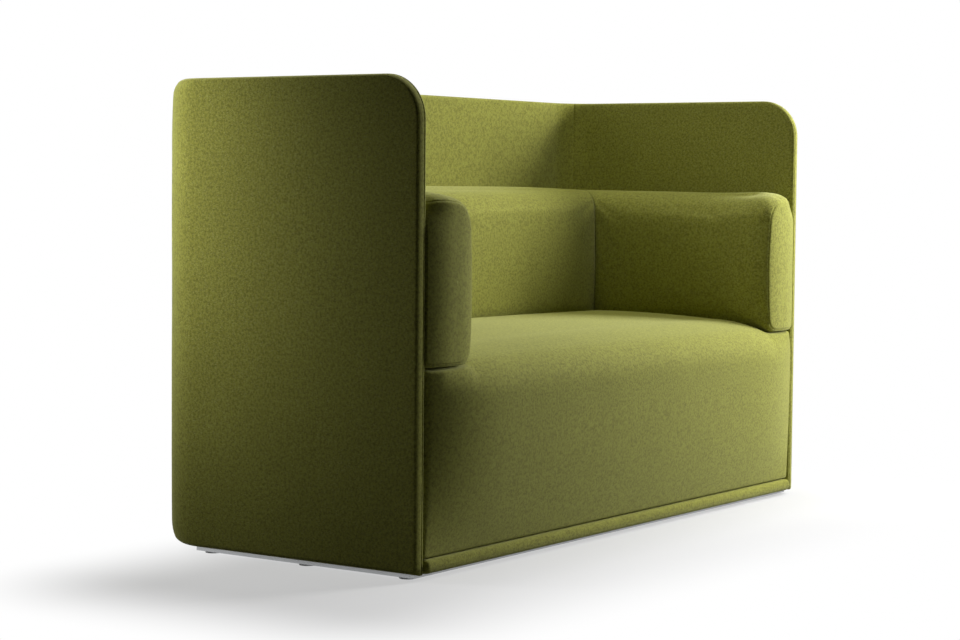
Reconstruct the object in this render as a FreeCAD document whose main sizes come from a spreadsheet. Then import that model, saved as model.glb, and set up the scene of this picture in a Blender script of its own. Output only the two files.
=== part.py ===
# A two-seat sofa with a high padded screen on three sides, a U of soft bolsters and one crowned seat block.
# Millimetres. +Z is up, the open front faces -Y, and the origin is on the floor under the middle of the sofa.
import FreeCAD
import Part
import Sketcher

import math
import os
import re

# Driving dimensions, kept in the sheet named Sizes
SIZES = {
    # The screen: boards padded on both sides and covered in cloth
    "overall_width": 1650,
    "shell_depth": 724,
    "shell_height": 1000,
    "rear_corner_radius": 130,
    "inner_corner_radius": 80,
    "front_top_radius": 92,
    "outer_roll_radius": 9,
    "inner_roll_radius": 6,
    "edge_land": 1,
    "shell_board_thickness": 12,
    "side_padding": 6.8,
    "back_padding": 28.8,
    "inner_padding": 6.8,
    "edge_padding": 9,
    "cloth_thickness": 1.2,
    # Base bars and glides
    "glide_height": 4,
    "glide_diameter": 36,
    "base_thickness": 8,
    "base_width": 60,
    "base_inset": 16,
    "dust_sheet_thickness": 0.8,
    "glide_margin": 30,
    "screw_diameter": 5,
    "screw_length": 34,
    "screw_head_diameter": 10,
    "screw_head_height": 1.8,
    "screw_head_depth": 0.4,
    # Seat frame and seat
    "frame_board_thickness": 18,
    "seat_frame_height": 318,
    "corner_block_side": 50,
    "corner_block_height": 160,
    "spacer_width": 70,
    "spacer_height": 110,
    "spacer_pitch": 400,
    "web_width": 60,
    "web_thickness": 1.5,
    "web_pitch": 150,
    "web_cross_pitch": 165,
    "web_margin": 4,
    "seat_height": 470,
    "seat_nose": 45,
    "seat_end_nose": 2,
    "seat_edge_radius": 85,
    "seat_shoulder_radius": 430,
    "seat_shoulder_angle": 16.7,
    "seat_crown": 9,
    "seat_side_fall": 8,
    # Padded band along the front of the plinth
    "band_height": 29,
    "band_overhang": 8,
    "band_core_thickness": 12,
    "band_core_height": 19,
    "band_groove": 2,
    "band_round": 11,
    "band_end_round": 7,
    "band_core_margin": 14,
    "front_recess": 16,
    # Arm and back bolsters
    "bolster_sink": 44,
    "arm_width": 145,
    "arm_height": 349,
    "arm_rise": 9,
    "arm_overhang": 17.5,
    "arm_end_depth": 14,
    "arm_end_inset": 9,
    "back_bolster_depth": 173,
    "back_crown": 5,
    "bolster_top_radius": 58,
    "bolster_wall_radius": 45,
    "bolster_low_radius": 28,
    "bolster_bulge": 6,
    "bolster_top_crown": 3,
    "bolster_board_margin": 60,
    "seam_gap": 0.3,
    # Joining bolts
    "bolt_diameter": 8,
    "bolt_clearance": 1,
    "bolt_head_diameter": 18,
    "bolt_head_height": 3,
    "washer_diameter": 22,
    "washer_thickness": 1.2,
    "nut_barrel_diameter": 11,
    "nut_barrel_length": 12,
    "fit_clearance": 0.2,
    "bolt_spare": 3,
    "pocket_clearance": 1,
    "arm_bolt_pitch": 160,
    "back_bolt_pitch": 320,
    "seat_bolt_height": 110,
}

# Places worked out from the driving dimensions
PLACES = {
    "half_width": "overall_width / 2",
    "rear": "(shell_depth + seat_nose) / 2",
    "front": "rear - shell_depth",
    "floor": "glide_height + base_thickness",
    "shell_top": "floor + shell_height",
    "side_wall": "2 * cloth_thickness + side_padding + shell_board_thickness + inner_padding",
    "back_wall": "2 * cloth_thickness + back_padding + shell_board_thickness + inner_padding",
    "inner_half": "half_width - side_wall",
    "inner_back": "rear - back_wall",
    "board_out_x": "half_width - cloth_thickness - side_padding",
    "board_in_x": "board_out_x - shell_board_thickness",
    "board_out_y": "rear - cloth_thickness - back_padding",
    "board_in_y": "board_out_y - shell_board_thickness",
    "board_in_radius": "inner_corner_radius + cloth_thickness + inner_padding",
    "board_out_radius": "board_in_radius + shell_board_thickness",
    "board_edge": "cloth_thickness + edge_padding",
    "base_x": "half_width - base_inset",
    "base_front": "front + base_inset",
    "base_rear": "rear - rear_corner_radius",
    "base_back_front": "inner_back - base_width",
    "frame_x": "inner_half - frame_board_thickness",
    "frame_front": "front + front_recess",
    "frame_inner_front": "frame_front + frame_board_thickness",
    "frame_rear": "inner_back - inner_corner_radius",
    "frame_inner_rear": "frame_rear - frame_board_thickness",
    "frame_top": "floor + seat_frame_height",
    "frame_span": "2 * frame_x",
    "frame_depth": "frame_rear - frame_front",
    "frame_middle": "(frame_rear + frame_front) / 2",
    "web_top": "frame_top + 2 * web_thickness",
    "band_top": "floor + band_height",
    "seat_low": "band_top + band_groove",
    "arm_front": "front - arm_overhang",
    "arm_inner_x": "inner_half - arm_width",
    "back_bolster_front": "inner_back - back_bolster_depth",
    "back_height": "arm_height + arm_rise",
    "bolster_floor": "seat_height - bolster_sink",
    "bolster_board_low": "bolster_floor + bolster_low_radius",
    "bolster_board_top": "bolster_floor + arm_height - bolster_top_radius - bolster_top_crown",
    "bolster_mid": "bolster_floor + arm_height / 2",
    "shell_grip": "shell_board_thickness + inner_padding + cloth_thickness",
    "grip": "shell_grip + frame_board_thickness",
    "bore_radius": "bolt_diameter / 2 + fit_clearance",
    "screw_hole_radius": "screw_diameter / 2 + fit_clearance",
    "screw_recess_radius": "screw_head_diameter / 2 + fit_clearance",
    "screw_seat": "screw_head_depth + screw_head_height",
}

# Shares of the half width where the seat's cross-sections stand, and how its front draws in at the ends
SEAT_STATIONS = (0.0, 0.35, 0.62, 0.7, 0.8, 0.9, 1.0)
SEAT_DRAW_IN = 0.65
SEAT_DRAW_POWER = 3

# Shares of an arm end's depth, each with the share of the end's inset left there
ARM_END_STATIONS = ((0.0, 1.0), (0.35, 0.3), (1.0, 0.0))
BACK_STATIONS = (-1.0, -0.5, 0.0, 0.5, 1.0)

# Left and right, and the three places of a row
SIDES = (-1, 1)
ROW = (-1, 0, 1)
FAR = 4000.0
TOUCH = 1e-4

doc = FreeCAD.newDocument("Sofa")
vec = FreeCAD.Vector
UP = vec(0, 0, 1)

sheet = doc.addObject("Spreadsheet::Sheet", "Sizes")
for row, (alias, value) in enumerate(SIZES.items(), start=1):
    sheet.set(f"A{row}", alias)
    sheet.set(f"B{row}", str(value))
    sheet.setAlias(f"B{row}", alias)
doc.recompute()


def linked(formula, own_places=False):
    """A formula in size and place names, with each name pointed at its holder."""
    def point(match):
        word = match.group(0)
        if word in SIZES:
            return f"Sizes.{word}"
        if word in PLACES:
            return word if own_places else f"Places.{word}"
        return word
    return re.sub(r"[a-z_]+[a-z0-9_]*", point, formula)


places = doc.addObject("App::VarSet", "Places")
for name in PLACES:
    places.addProperty("App::PropertyFloat", name, "Places")
for name, formula in PLACES.items():
    places.setExpression(name, linked(formula, own_places=True))
doc.recompute()


def value(name):
    """The present number of a size or a place."""
    if name in SIZES:
        return float(sheet.get(name))
    return float(getattr(places, name))


nodes = {}


def node(part_object, label):
    """Names a finished piece and lists it for writing."""
    part_object.Label = label
    nodes[label] = part_object
    return part_object


def slab(name, x, y, z):
    """A box between two formulas on each axis."""
    box = doc.addObject("Part::Box", name)
    for side, axis, (low, high) in zip(("Length", "Width", "Height"), "xyz", (x, y, z)):
        box.setExpression(side, linked(f"({high}) - ({low})"))
        box.setExpression(f"Placement.Base.{axis}", linked(low))
    return box


def turned(name, outline):
    """A body turned about its own upright axis, from an outline of radius and height formulas."""
    body = doc.addObject("PartDesign::Body", name)
    plane = next(item for item in body.Origin.OriginFeatures if item.Role == "XZ_Plane")
    sketch = body.newObject("Sketcher::SketchObject", f"{name}_outline")
    sketch.AttachmentSupport = (plane, [""])
    sketch.MapMode = "FlatFace"
    points = [tuple(float(sheet.evalExpression(linked(each))) for each in pair) for pair in outline]
    count = len(points)
    for index, point in enumerate(points):
        following = points[(index + 1) % count]
        sketch.addGeometry(Part.LineSegment(vec(*point, 0), vec(*following, 0)))
    for index in range(count):
        sketch.addConstraint(Sketcher.Constraint("Coincident", index, 2, (index + 1) % count, 1))
    for index, pair in enumerate(outline):
        for kind, axis, formula, number in zip(("DistanceX", "DistanceY"), (-2, -1), pair, points[index]):
            if formula == "0":
                sketch.addConstraint(Sketcher.Constraint("PointOnObject", index, 1, axis))
                continue
            place = sketch.addConstraint(Sketcher.Constraint(kind, -1, 1, index, 1, number))
            sketch.setExpression(f"Constraints[{place}]", linked(formula))
    turn = body.newObject("PartDesign::Revolution", f"{name}_turn")
    turn.Profile = sketch
    turn.ReferenceAxis = (sketch, ["V_Axis"])
    turn.Angle = 360
    doc.recompute()
    return body


def solid_feature(name, shape):
    feature = doc.addObject("Part::Feature", name)
    feature.Shape = shape
    return feature


def copies(label, body, start, spots):
    """Copies of a turned body, each set along a line at a distance from its spot."""
    placed = []
    for spot, way in spots:
        shape = body.Shape.copy()
        shape.Placement = FreeCAD.Placement(spot + way * start, FreeCAD.Rotation(UP, way))
        placed.append(shape)
    return node(solid_feature(f"{label}_set", Part.Compound(placed)), label)


def group(name, pieces):
    """Several loose pieces kept as one object."""
    feature = doc.addObject("Part::Compound", name)
    feature.Links = pieces
    return feature


def boolean(kind, name, base, tool):
    feature = doc.addObject(f"Part::{kind}", name)
    feature.Base = base
    feature.Tool = tool
    return feature


def block(x, y, z):
    """A plain box shape between numbers."""
    size = (x[1] - x[0], y[1] - y[0], z[1] - z[0])
    return Part.makeBox(*size, vec(x[0], y[0], z[0]))


def arc(start, middle, end):
    return Part.Arc(vec(*start), vec(*middle), vec(*end)).toShape()


def line(start, end):
    return Part.makeLine(vec(*start), vec(*end))


def round_corner(start, end, centre):
    """A quarter turn from start to end about a centre."""
    radius = (vec(*start) - vec(*centre)).Length
    middle = vec(*centre) + ((vec(*start) + vec(*end)) * 0.5 - vec(*centre)).normalize() * radius
    return arc(start, tuple(middle), end)


# The screen
def bay_prism(half, back, radius, front, low, high):
    """An upright prism with a straight front and two rounded rear corners."""
    turn = back - radius
    edges = [line((-half, front, low), (-half, turn, low))]
    edges.append(round_corner((-half, turn, low), (radius - half, back, low), (radius - half, turn, low)))
    edges.append(line((radius - half, back, low), (half - radius, back, low)))
    edges.append(round_corner((half - radius, back, low), (half, turn, low), (half - radius, turn, low)))
    edges.append(line((half, turn, low), (half, front, low)))
    edges.append(line((half, front, low), (-half, front, low)))
    return Part.Face(Part.Wire(edges)).extrude(vec(0, 0, high - low))


def side_outline(inset):
    """The side view of the screen, rounded at its upper front corner, right across the sofa."""
    low = value("floor") + inset
    high = value("shell_top") - inset
    front = value("front") + inset
    radius = value("front_top_radius") - inset
    across = -value("overall_width")
    back = value("rear") + radius
    edges = [line((across, back, low), (across, front, low))]
    edges.append(line((across, front, low), (across, front, high - radius)))
    corner = (across, front + radius, high - radius)
    edges.append(round_corner((across, front, high - radius), (across, front + radius, high), corner))
    edges.append(line((across, front + radius, high), (across, back, high)))
    edges.append(line((across, back, high), (across, back, low)))
    return Part.Face(Part.Wire(edges)).extrude(vec(-2 * across, 0, 0))


def wall_prism(share):
    """The space inside a U part-way through the screen: share 0 is its inner face and 1 its outer face."""
    half = value("inner_half") + share * value("side_wall")
    back = value("inner_back") + share * value("back_wall")
    spread = value("rear_corner_radius") - value("inner_corner_radius")
    radius = value("inner_corner_radius") + share * spread
    return bay_prism(half, back, radius, -FAR, -FAR, FAR)


def rim_edges(shape, half, back, radius, inset):
    """The edges where one face of the U meets the top, front and bottom of the screen."""
    low = value("floor") + inset
    high = value("shell_top") - inset
    front = value("front") + inset
    bend = value("front_top_radius") - inset
    found = []
    for edge in shape.Edges:
        spot = edge.valueAt((edge.FirstParameter + edge.LastParameter) / 2)
        past_x = abs(spot.x) - (half - radius)
        past_y = spot.y - (back - radius)
        if past_x > 0 and past_y > 0:
            on_wall = abs(math.hypot(past_x, past_y) - radius) < TOUCH
        else:
            on_wall = abs(past_x - radius) < TOUCH or abs(past_y - radius) < TOUCH
        from_bend = math.hypot(spot.y - front - bend, spot.z - high + bend)
        on_bend = abs(from_bend - bend) < TOUCH and spot.y < front + bend and spot.z > high - bend
        on_rim = min(abs(spot.z - low), abs(spot.z - high), abs(spot.y - front)) < TOUCH
        if on_wall and (on_rim or on_bend):
            found.append(edge)
    return found


def screen_form(inset):
    """The whole screen, shrunk by an inset on every face, with rolled edges."""
    outer = (value("half_width") - inset, value("rear") - inset, value("rear_corner_radius") - inset)
    inner = (value("inner_half") + inset, value("inner_back") + inset, value("inner_corner_radius") + inset)
    form = bay_prism(*outer, -FAR, -FAR, FAR).cut(bay_prism(*inner, -FAR, -FAR, FAR))
    form = form.common(side_outline(inset))
    room = value("side_wall") - value("inner_roll_radius") - value("edge_land")
    roll = min(value("outer_roll_radius"), room)
    form = form.makeFillet(roll - inset, rim_edges(form, *outer, inset))
    return form.makeFillet(value("inner_roll_radius") - inset, rim_edges(form, *inner, inset))


cloth = value("cloth_thickness")
front = value("front")
inner_half = value("inner_half")
inner_back = value("inner_back")

screen = screen_form(0.0)
screen_filling = screen_form(cloth)
board_out = (value("board_out_x"), value("board_out_y"), value("board_out_radius"))
board_in = (value("board_in_x"), value("board_in_y"), value("board_in_radius"))
inside_boards = bay_prism(*board_in, -FAR, -FAR, FAR)
boards = bay_prism(*board_out, -FAR, -FAR, FAR).cut(inside_boards).common(side_outline(value("board_edge")))



# Bolts that hold the bolsters and the seat frame to the screen
def bolt_spots():
    """Where each bolt meets the outer face of a screen board, and the way it points."""
    spots = []
    middle = (value("frame_inner_front") + value("back_bolster_front")) / 2
    for side in SIDES:
        for step in ROW:
            along = middle + step * value("arm_bolt_pitch")
            for height in (value("bolster_mid"), value("floor") + value("seat_bolt_height")):
                spots.append((vec(side * value("board_out_x"), along, height), vec(-side, 0, 0)))
        for step in (0.5, 1.5):
            across = side * step * value("back_bolt_pitch")
            spots.append((vec(across, value("board_out_y"), value("bolster_mid")), vec(0, -1, 0)))
    return spots


def rod(radius, start, stop, spot, way):
    """A round bar from start to stop along a bolt's line."""
    return Part.makeCylinder(radius, stop - start, spot + way * start, way)


def bolt_room(spot, way):
    """The stepped hole for one bolt: head pocket, shank hole, nut hole and nut pocket."""
    clear = value("pocket_clearance")
    grip = value("grip")
    head = value("washer_thickness") + value("bolt_head_height") + clear
    pocket = value("washer_diameter") / 2 + clear
    shank = (value("bolt_diameter") + value("bolt_clearance")) / 2
    barrel = value("nut_barrel_diameter") / 2 + value("fit_clearance")
    tail = value("bolt_spare") + value("washer_thickness") + clear
    room = rod(pocket, -head, 0, spot, way).fuse(rod(shank, 0, value("shell_grip"), spot, way))
    room = room.fuse(rod(barrel, value("shell_grip"), grip, spot, way))
    return room.fuse(rod(pocket, grip, grip + tail, spot, way))


BOLT_END = "bolt_head_height + washer_thickness + grip + bolt_spare"
bolt = turned("bolt", (
    ("0", "0"),
    ("bolt_head_diameter / 2", "0"),
    ("bolt_head_diameter / 2", "bolt_head_height"),
    ("bolt_diameter / 2", "bolt_head_height"),
    ("bolt_diameter / 2", BOLT_END),
    ("0", BOLT_END),
))
washer = turned("washer", (
    ("bore_radius", "0"),
    ("washer_diameter / 2", "0"),
    ("washer_diameter / 2", "washer_thickness"),
    ("bore_radius", "washer_thickness"),
))
NUT_END = "nut_barrel_length + washer_thickness"
tee_nut = turned("tee_nut", (
    ("bore_radius", "0"),
    ("nut_barrel_diameter / 2", "0"),
    ("nut_barrel_diameter / 2", "nut_barrel_length"),
    ("washer_diameter / 2", "nut_barrel_length"),
    ("washer_diameter / 2", NUT_END),
    ("bore_radius", NUT_END),
))

bolt_lines = bolt_spots()
copies("joining_bolts", bolt, -value("washer_thickness") - value("bolt_head_height"), bolt_lines)
copies("joining_washers", washer, -value("washer_thickness"), bolt_lines)
copies("joining_tee_nuts", tee_nut, value("grip") - value("nut_barrel_length"), bolt_lines)
bolt_holes = solid_feature("bolt_holes", Part.Compound([bolt_room(*spot) for spot in bolt_lines]))


def drilled(label, piece):
    """A finished piece with the bolt holes taken out of it."""
    return node(boolean("Cut", f"{label}_drilled", piece, bolt_holes), label)


def screen_zones(layer, corner_x, corner_y):
    """A layer of the screen parted at the ends of its corner bends."""
    deep = (-FAR, FAR)
    zones = {
        "left": block((-FAR, 0), (-FAR, corner_y), deep),
        "right": block((0, FAR), (-FAR, corner_y), deep),
        "back": block((-corner_x, corner_x), (corner_y, FAR), deep),
        "left_corner": block((-FAR, -corner_x), (corner_y, FAR), deep),
        "right_corner": block((corner_x, FAR), (corner_y, FAR), deep),
    }
    for zone, space in zones.items():
        yield zone, layer.common(space)


outer_foam = screen_filling.cut(inside_boards).cut(boards)
inner_foam = screen_filling.common(inside_boards)
board_corner = [value(f"board_in_{axis}") - value("board_in_radius") for axis in "xy"]
for layer_name, layer in (("board", boards), ("outer_padding", outer_foam), ("inner_padding", inner_foam)):
    for zone, shape in screen_zones(layer, *board_corner):
        label = f"shell_{zone}_{layer_name}"
        drilled(label, solid_feature(f"{label}_blank", shape))

covers = screen.cut(screen_filling)
middle_wall = wall_prism(0.5)
node(solid_feature("outer_cover", covers.cut(middle_wall)), "shell_outer_cover")
drilled("shell_inner_cover", solid_feature("inner_cover", covers.common(middle_wall)))
screen_tool = solid_feature("screen_tool", screen)


# Glides and their screws
def glide_spots():
    """Where the glides stand: three under each side board, one under the centre board, one under a spacer."""
    side_x = (value("inner_half") + value("frame_x")) / 2
    first = value("base_front") + value("glide_margin")
    last = value("base_rear") - value("glide_margin")
    found = [(side * side_x, along) for side in SIDES for along in (first, (first + last) / 2, last)]
    found += [(0.0, first), (0.0, inner_back - value("glide_margin"))]
    return [(vec(across, along, 0), UP) for across, along in found]


glide = turned("glide", (
    ("screw_recess_radius", "0"),
    ("glide_diameter / 2", "0"),
    ("glide_diameter / 2", "glide_height"),
    ("screw_hole_radius", "glide_height"),
    ("screw_hole_radius", "screw_seat"),
    ("screw_recess_radius", "screw_seat"),
))
SCREW_END = "screw_head_height + screw_length"
glide_screw = turned("glide_screw", (
    ("0", "0"),
    ("screw_head_diameter / 2", "0"),
    ("screw_head_diameter / 2", "screw_head_height"),
    ("screw_diameter / 2", "screw_head_height"),
    ("screw_diameter / 2", SCREW_END),
    ("0", SCREW_END),
))

feet = glide_spots()
copies("glides", glide, 0.0, feet)
copies("glide_screws", glide_screw, value("screw_head_depth"), feet)
hole_end = value("screw_seat") + value("screw_length") + value("fit_clearance")
screw_rooms = [rod(value("screw_hole_radius"), 0, hole_end, *foot) for foot in feet]
screw_holes = solid_feature("screw_holes", Part.Compound(screw_rooms))


def screwed(label, piece):
    """A piece with both the bolt holes and the glide screw holes taken out of it."""
    return drilled(label, boolean("Cut", f"{label}_screwed", piece, screw_holes))


# Base bars and the sheet that closes the underside
BASE_Z = ("glide_height", "floor")
BASE_Y = ("base_front", "base_rear")
BASE_MIDDLE = ("base_width - base_x", "base_x - base_width")
screwed("base_left_bar", slab("base_left", ("-base_x", "base_width - base_x"), BASE_Y, BASE_Z))
screwed("base_right_bar", slab("base_right", ("base_x - base_width", "base_x"), BASE_Y, BASE_Z))
screwed("base_front_bar", slab("base_ahead", BASE_MIDDLE, ("base_front", "base_front + base_width"), BASE_Z))
screwed("base_rear_bar", slab("base_behind", BASE_MIDDLE, ("base_back_front", "inner_back"), BASE_Z))
sheet_y = ("base_front + base_width", "base_back_front")
node(slab("dust", BASE_MIDDLE, sheet_y, ("floor - dust_sheet_thickness", "floor")), "dust_sheet")

# Seat frame
FRAME_X = ("-frame_x", "frame_x")
FRAME_Y = ("frame_front", "frame_rear")
FRAME_Z = ("floor", "frame_top")
screwed("seat_left_board", slab("frame_left", ("-inner_half", "-frame_x"), FRAME_Y, FRAME_Z))
screwed("seat_right_board", slab("frame_right", ("frame_x", "inner_half"), FRAME_Y, FRAME_Z))
node(slab("frame_ahead", FRAME_X, ("frame_front", "frame_inner_front"), FRAME_Z), "seat_front_board")
node(slab("frame_behind", FRAME_X, ("frame_inner_rear", "frame_rear"), FRAME_Z), "seat_rear_board")
centre_x = ("-frame_board_thickness / 2", "frame_board_thickness / 2")
centre_y = ("frame_inner_front", "frame_inner_rear")
screwed("seat_centre_board", slab("frame_centre", centre_x, centre_y, FRAME_Z))


def corner_blocks():
    """Glue blocks in the four inner corners of the seat frame."""
    height = ("frame_top - corner_block_height", "frame_top")
    for x in (("-frame_x", "corner_block_side - frame_x"), ("frame_x - corner_block_side", "frame_x")):
        for start in ("frame_inner_front", "frame_inner_rear - corner_block_side"):
            yield slab("corner_block", x, (start, f"{start} + corner_block_side"), height)


def row_span(step, pitch, width):
    """The two ends of a piece's width, a number of pitches from the middle of its row."""
    return (f"({step}) * {pitch} - {width} / 2", f"({step}) * {pitch} + {width} / 2")


def web_row(span, pitch):
    """As many webs as fit on a span at about a pitch, spread evenly between its two margins."""
    room = f"({span} - web_width - 2 * web_margin)"
    count = int((value(span) - value("web_width") - 2 * value("web_margin")) / value(pitch)) + 1
    places = [index - (count - 1) / 2 for index in range(count)]
    return [row_span(place, f"{room} / {count - 1}", "web_width") for place in places]


node(group("corner_block_set", list(corner_blocks())), "seat_corner_blocks")
spacer_y = ("frame_rear", "inner_back")
spacer_z = ("floor", "floor + spacer_height")
spacers = [slab("spacer", row_span(step, "spacer_pitch", "spacer_width"), spacer_y, spacer_z) for step in ROW]
screwed("rear_spacers", group("spacer_set", spacers))

web_low = ("frame_top", "frame_top + web_thickness")
long_webs = []
for across in web_row("frame_span", "web_pitch"):
    long_webs.append(slab("long_web", across, FRAME_Y, web_low))
node(group("long_web_set", long_webs), "seat_webbing_lengthwise")

web_high = ("frame_top + web_thickness", "web_top")
cross_webs = []
for low, high in web_row("frame_depth", "web_cross_pitch"):
    along = (f"frame_middle + {low}", f"frame_middle + {high}")
    cross_webs.append(slab("cross_web", ("-inner_half", "inner_half"), along, web_high))
node(group("cross_web_set", cross_webs), "seat_webbing_crosswise")


# The crowned seat block
def seat_section(across, share, inset, low, back):
    """One upright slice of the seat: bulged front, rolled nose, sloping shoulder and crowned top."""
    drawn = max(0.0, (share - SEAT_DRAW_IN) / (1 - SEAT_DRAW_IN))
    nose = value("seat_nose") - (value("seat_nose") - value("seat_end_nose")) * drawn ** SEAT_DRAW_POWER
    top = value("seat_height") - value("seat_side_fall") * share ** 2 - value("seat_crown")
    slope = math.radians(value("seat_shoulder_angle"))
    nose_radius = value("seat_edge_radius")
    shoulder_radius = value("seat_shoulder_radius")
    nose_z = top - shoulder_radius * (1 - math.cos(slope)) - nose_radius * math.cos(slope)
    centre_y = front - nose + nose_radius
    nose_radius -= inset
    shoulder_radius -= inset

    def on_nose(angle):
        return (centre_y - nose_radius * math.cos(angle), nose_z + nose_radius * math.sin(angle))

    shoulder_y = on_nose(math.pi / 2 - slope)[0] + shoulder_radius * math.sin(slope)
    shoulder_z = top - shoulder_radius - inset

    def on_shoulder(angle):
        along = shoulder_y - shoulder_radius * math.sin(angle)
        return (along, shoulder_z + shoulder_radius * math.cos(angle))

    tip = on_nose(0.0)
    foot = (front + value("seat_end_nose") + inset, low)
    depth = foot[0] - tip[0]
    rise = nose_z - low
    front_radius = (depth ** 2 + rise ** 2) / (2 * depth)
    half_way = (tip[0] + front_radius - math.sqrt(front_radius ** 2 - rise ** 2 / 4), low + rise / 2)
    crown_start = on_shoulder(0.0)
    crown_top = ((crown_start[0] + back) / 2, top + value("seat_crown") - inset)
    crown_end = (back, crown_start[1])

    def at(point):
        return (across, *point)

    edges = [
        arc(at(foot), at(half_way), at(tip)),
        arc(at(tip), at(on_nose((math.pi / 2 - slope) / 2)), at(on_nose(math.pi / 2 - slope))),
        arc(at(on_shoulder(slope)), at(on_shoulder(slope / 2)), at(crown_start)),
        arc(at(crown_start), at(crown_top), at(crown_end)),
        line(at(crown_end), at((back, low))),
        line(at((back, low)), at(foot)),
    ]
    return Part.Wire(edges)


def seat_form(inset, reach):
    """The seat less the bolsters' room, from wall to wall or as far past its open sides as the reach."""
    gap = value("seam_gap")
    half = inner_half + reach
    low = value("seat_low") - reach
    shares = [-share for share in reversed(SEAT_STATIONS[1:])] + list(SEAT_STATIONS)
    sections = [seat_section(share * half, abs(share), inset, low, inner_back + reach) for share in shares]
    form = Part.makeLoft(sections, True, False)
    level = (value("bolster_floor") - inset, FAR)
    inner = value("arm_inner_x") - gap - inset
    from_front = (value("arm_front") - gap - inset, FAR)
    for x in ((-FAR, -inner), (inner, FAR)):
        form = form.cut(block(x, from_front, level))
    return form.cut(block((-FAR, FAR), (value("back_bolster_front") - gap - inset, FAR), level))


seat_skin = seat_form(0.0, 0.0)
seat_stuffing = seat_form(cloth, cloth)
walls = block((-inner_half, inner_half), (-FAR, inner_back), (value("seat_low"), FAR))
seat_stuffing_inside = seat_stuffing.common(walls)
above_webs = block((-FAR, FAR), (-FAR, FAR), (value("web_top"), FAR))
before_frame = block((-FAR, FAR), (-FAR, value("frame_front")), (-FAR, value("web_top")))
seat_cover = solid_feature("seat_cover_blank", seat_skin.cut(seat_stuffing))
node(boolean("Cut", "seat_cover_fitted", seat_cover, screen_tool), "seat_cover")
seat_foam = solid_feature("seat_foam_blank", seat_stuffing_inside.common(above_webs))
node(boolean("Cut", "seat_foam_fitted", seat_foam, screen_tool), "seat_foam")
node(solid_feature("front_pad", seat_stuffing_inside.common(before_frame)), "seat_front_padding")


# Padded band along the front of the plinth
def band_section(across, inset):
    low = value("floor") + inset
    high = value("band_top") - inset
    back = value("frame_front")
    tip = front - value("band_overhang") + inset
    radius = min(value("band_round"), (high - low) / 2 - value("edge_land"))

    def at(y, z):
        return (across, y, z)

    edges = [
        line(at(back, low), at(tip + radius, low)),
        round_corner(at(tip + radius, low), at(tip, low + radius), at(tip + radius, low + radius)),
        line(at(tip, low + radius), at(tip, high - radius)),
        round_corner(at(tip, high - radius), at(tip + radius, high), at(tip + radius, high - radius)),
        line(at(tip + radius, high), at(back, high)),
        line(at(back, high), at(back, low)),
    ]
    return Part.Wire(edges)


def band_form(inset):
    half = inner_half - value("seam_gap") - inset
    turn = value("band_end_round")
    sections = [band_section(-half, inset + turn / 2), band_section(turn - half, inset)]
    sections += [band_section(half - turn, inset), band_section(half, inset + turn / 2)]
    return Part.makeLoft(sections, True, True)


band_margin = "(band_height - band_core_height) / 2"
core_x = ("band_core_margin - inner_half", "inner_half - band_core_margin")
core_y = ("frame_front - band_core_thickness", "frame_front")
core_z = (f"floor + {band_margin}", f"band_top - {band_margin}")
band_core = node(slab("band_strip", core_x, core_y, core_z), "front_band_core")
band_filling = solid_feature("band_filling", band_form(cloth))
node(boolean("Cut", "band_padding", band_filling, band_core), "front_band_padding")
node(solid_feature("band_skin", band_form(0.0).cut(band_form(cloth))), "front_band_cover")


# Arm and back bolsters
def bolster_section(depth, height, inset, end_inset, reach, place):
    """A slice across a bolster, from the screen inward: low roll, bulged face, top roll and crowned top."""
    shrink = inset + end_inset
    low = value("bolster_floor") + shrink
    high = value("bolster_floor") + height - shrink
    face = depth - shrink
    bulge = value("bolster_bulge")
    crown = high - value("bolster_top_crown")
    low_r = value("bolster_low_radius") - inset
    top_r = value("bolster_top_radius") - inset
    wall_r = value("bolster_wall_radius") - inset
    side = face - bulge
    wall = inset

    def at(d, z):
        return place(d, z)

    edges = [
        line(at(-reach, low), at(side - low_r, low)),
        round_corner(at(side - low_r, low), at(side, low + low_r), at(side - low_r, low + low_r)),
        arc(at(side, low + low_r), at(face, (low + low_r + crown - top_r) / 2), at(side, crown - top_r)),
        round_corner(at(side, crown - top_r), at(side - top_r, crown), at(side - top_r, crown - top_r)),
        arc(at(side - top_r, crown), at((side - top_r + wall + wall_r) / 2, high), at(wall + wall_r, crown)),
        round_corner(at(wall + wall_r, crown), at(wall, crown - wall_r), at(wall + wall_r, crown - wall_r)),
    ]
    if reach > 0:
        edges.append(line(at(wall, crown - wall_r), at(-reach, crown - wall_r)))
    edges.append(line(at(-reach, crown - wall_r), at(-reach, low)))
    return Part.Wire(edges)


def arm_form(side, inset, reach):
    """An arm bolster from its drawn-in front end to the back of the screen."""
    stations = []
    for share, left in ARM_END_STATIONS:
        along = value("arm_front") + share * value("arm_end_depth") + inset
        stations.append((along, left * value("arm_end_inset"), 0.0))
    stations.append((inner_back + reach, 0.0, value("arm_rise")))

    def slice_at(along, end_inset, rise):
        def place(depth, height):
            return (side * (inner_half - depth), along, height)
        return bolster_section(value("arm_width"), value("arm_height") + rise, inset, end_inset, reach, place)

    return Part.makeLoft([slice_at(*station) for station in stations], True, True)


def back_form(inset, reach):
    """The back bolster from wall to wall, crowned along its length."""
    def slice_at(share):
        def place(depth, height):
            return (share * (inner_half + reach), inner_back - depth, height)
        height = value("back_height") + value("back_crown") * (1 - share ** 2)
        return bolster_section(value("back_bolster_depth"), height, inset, 0.0, reach, place)

    return Part.makeLoft([slice_at(share) for share in BACK_STATIONS], True, False)


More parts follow.
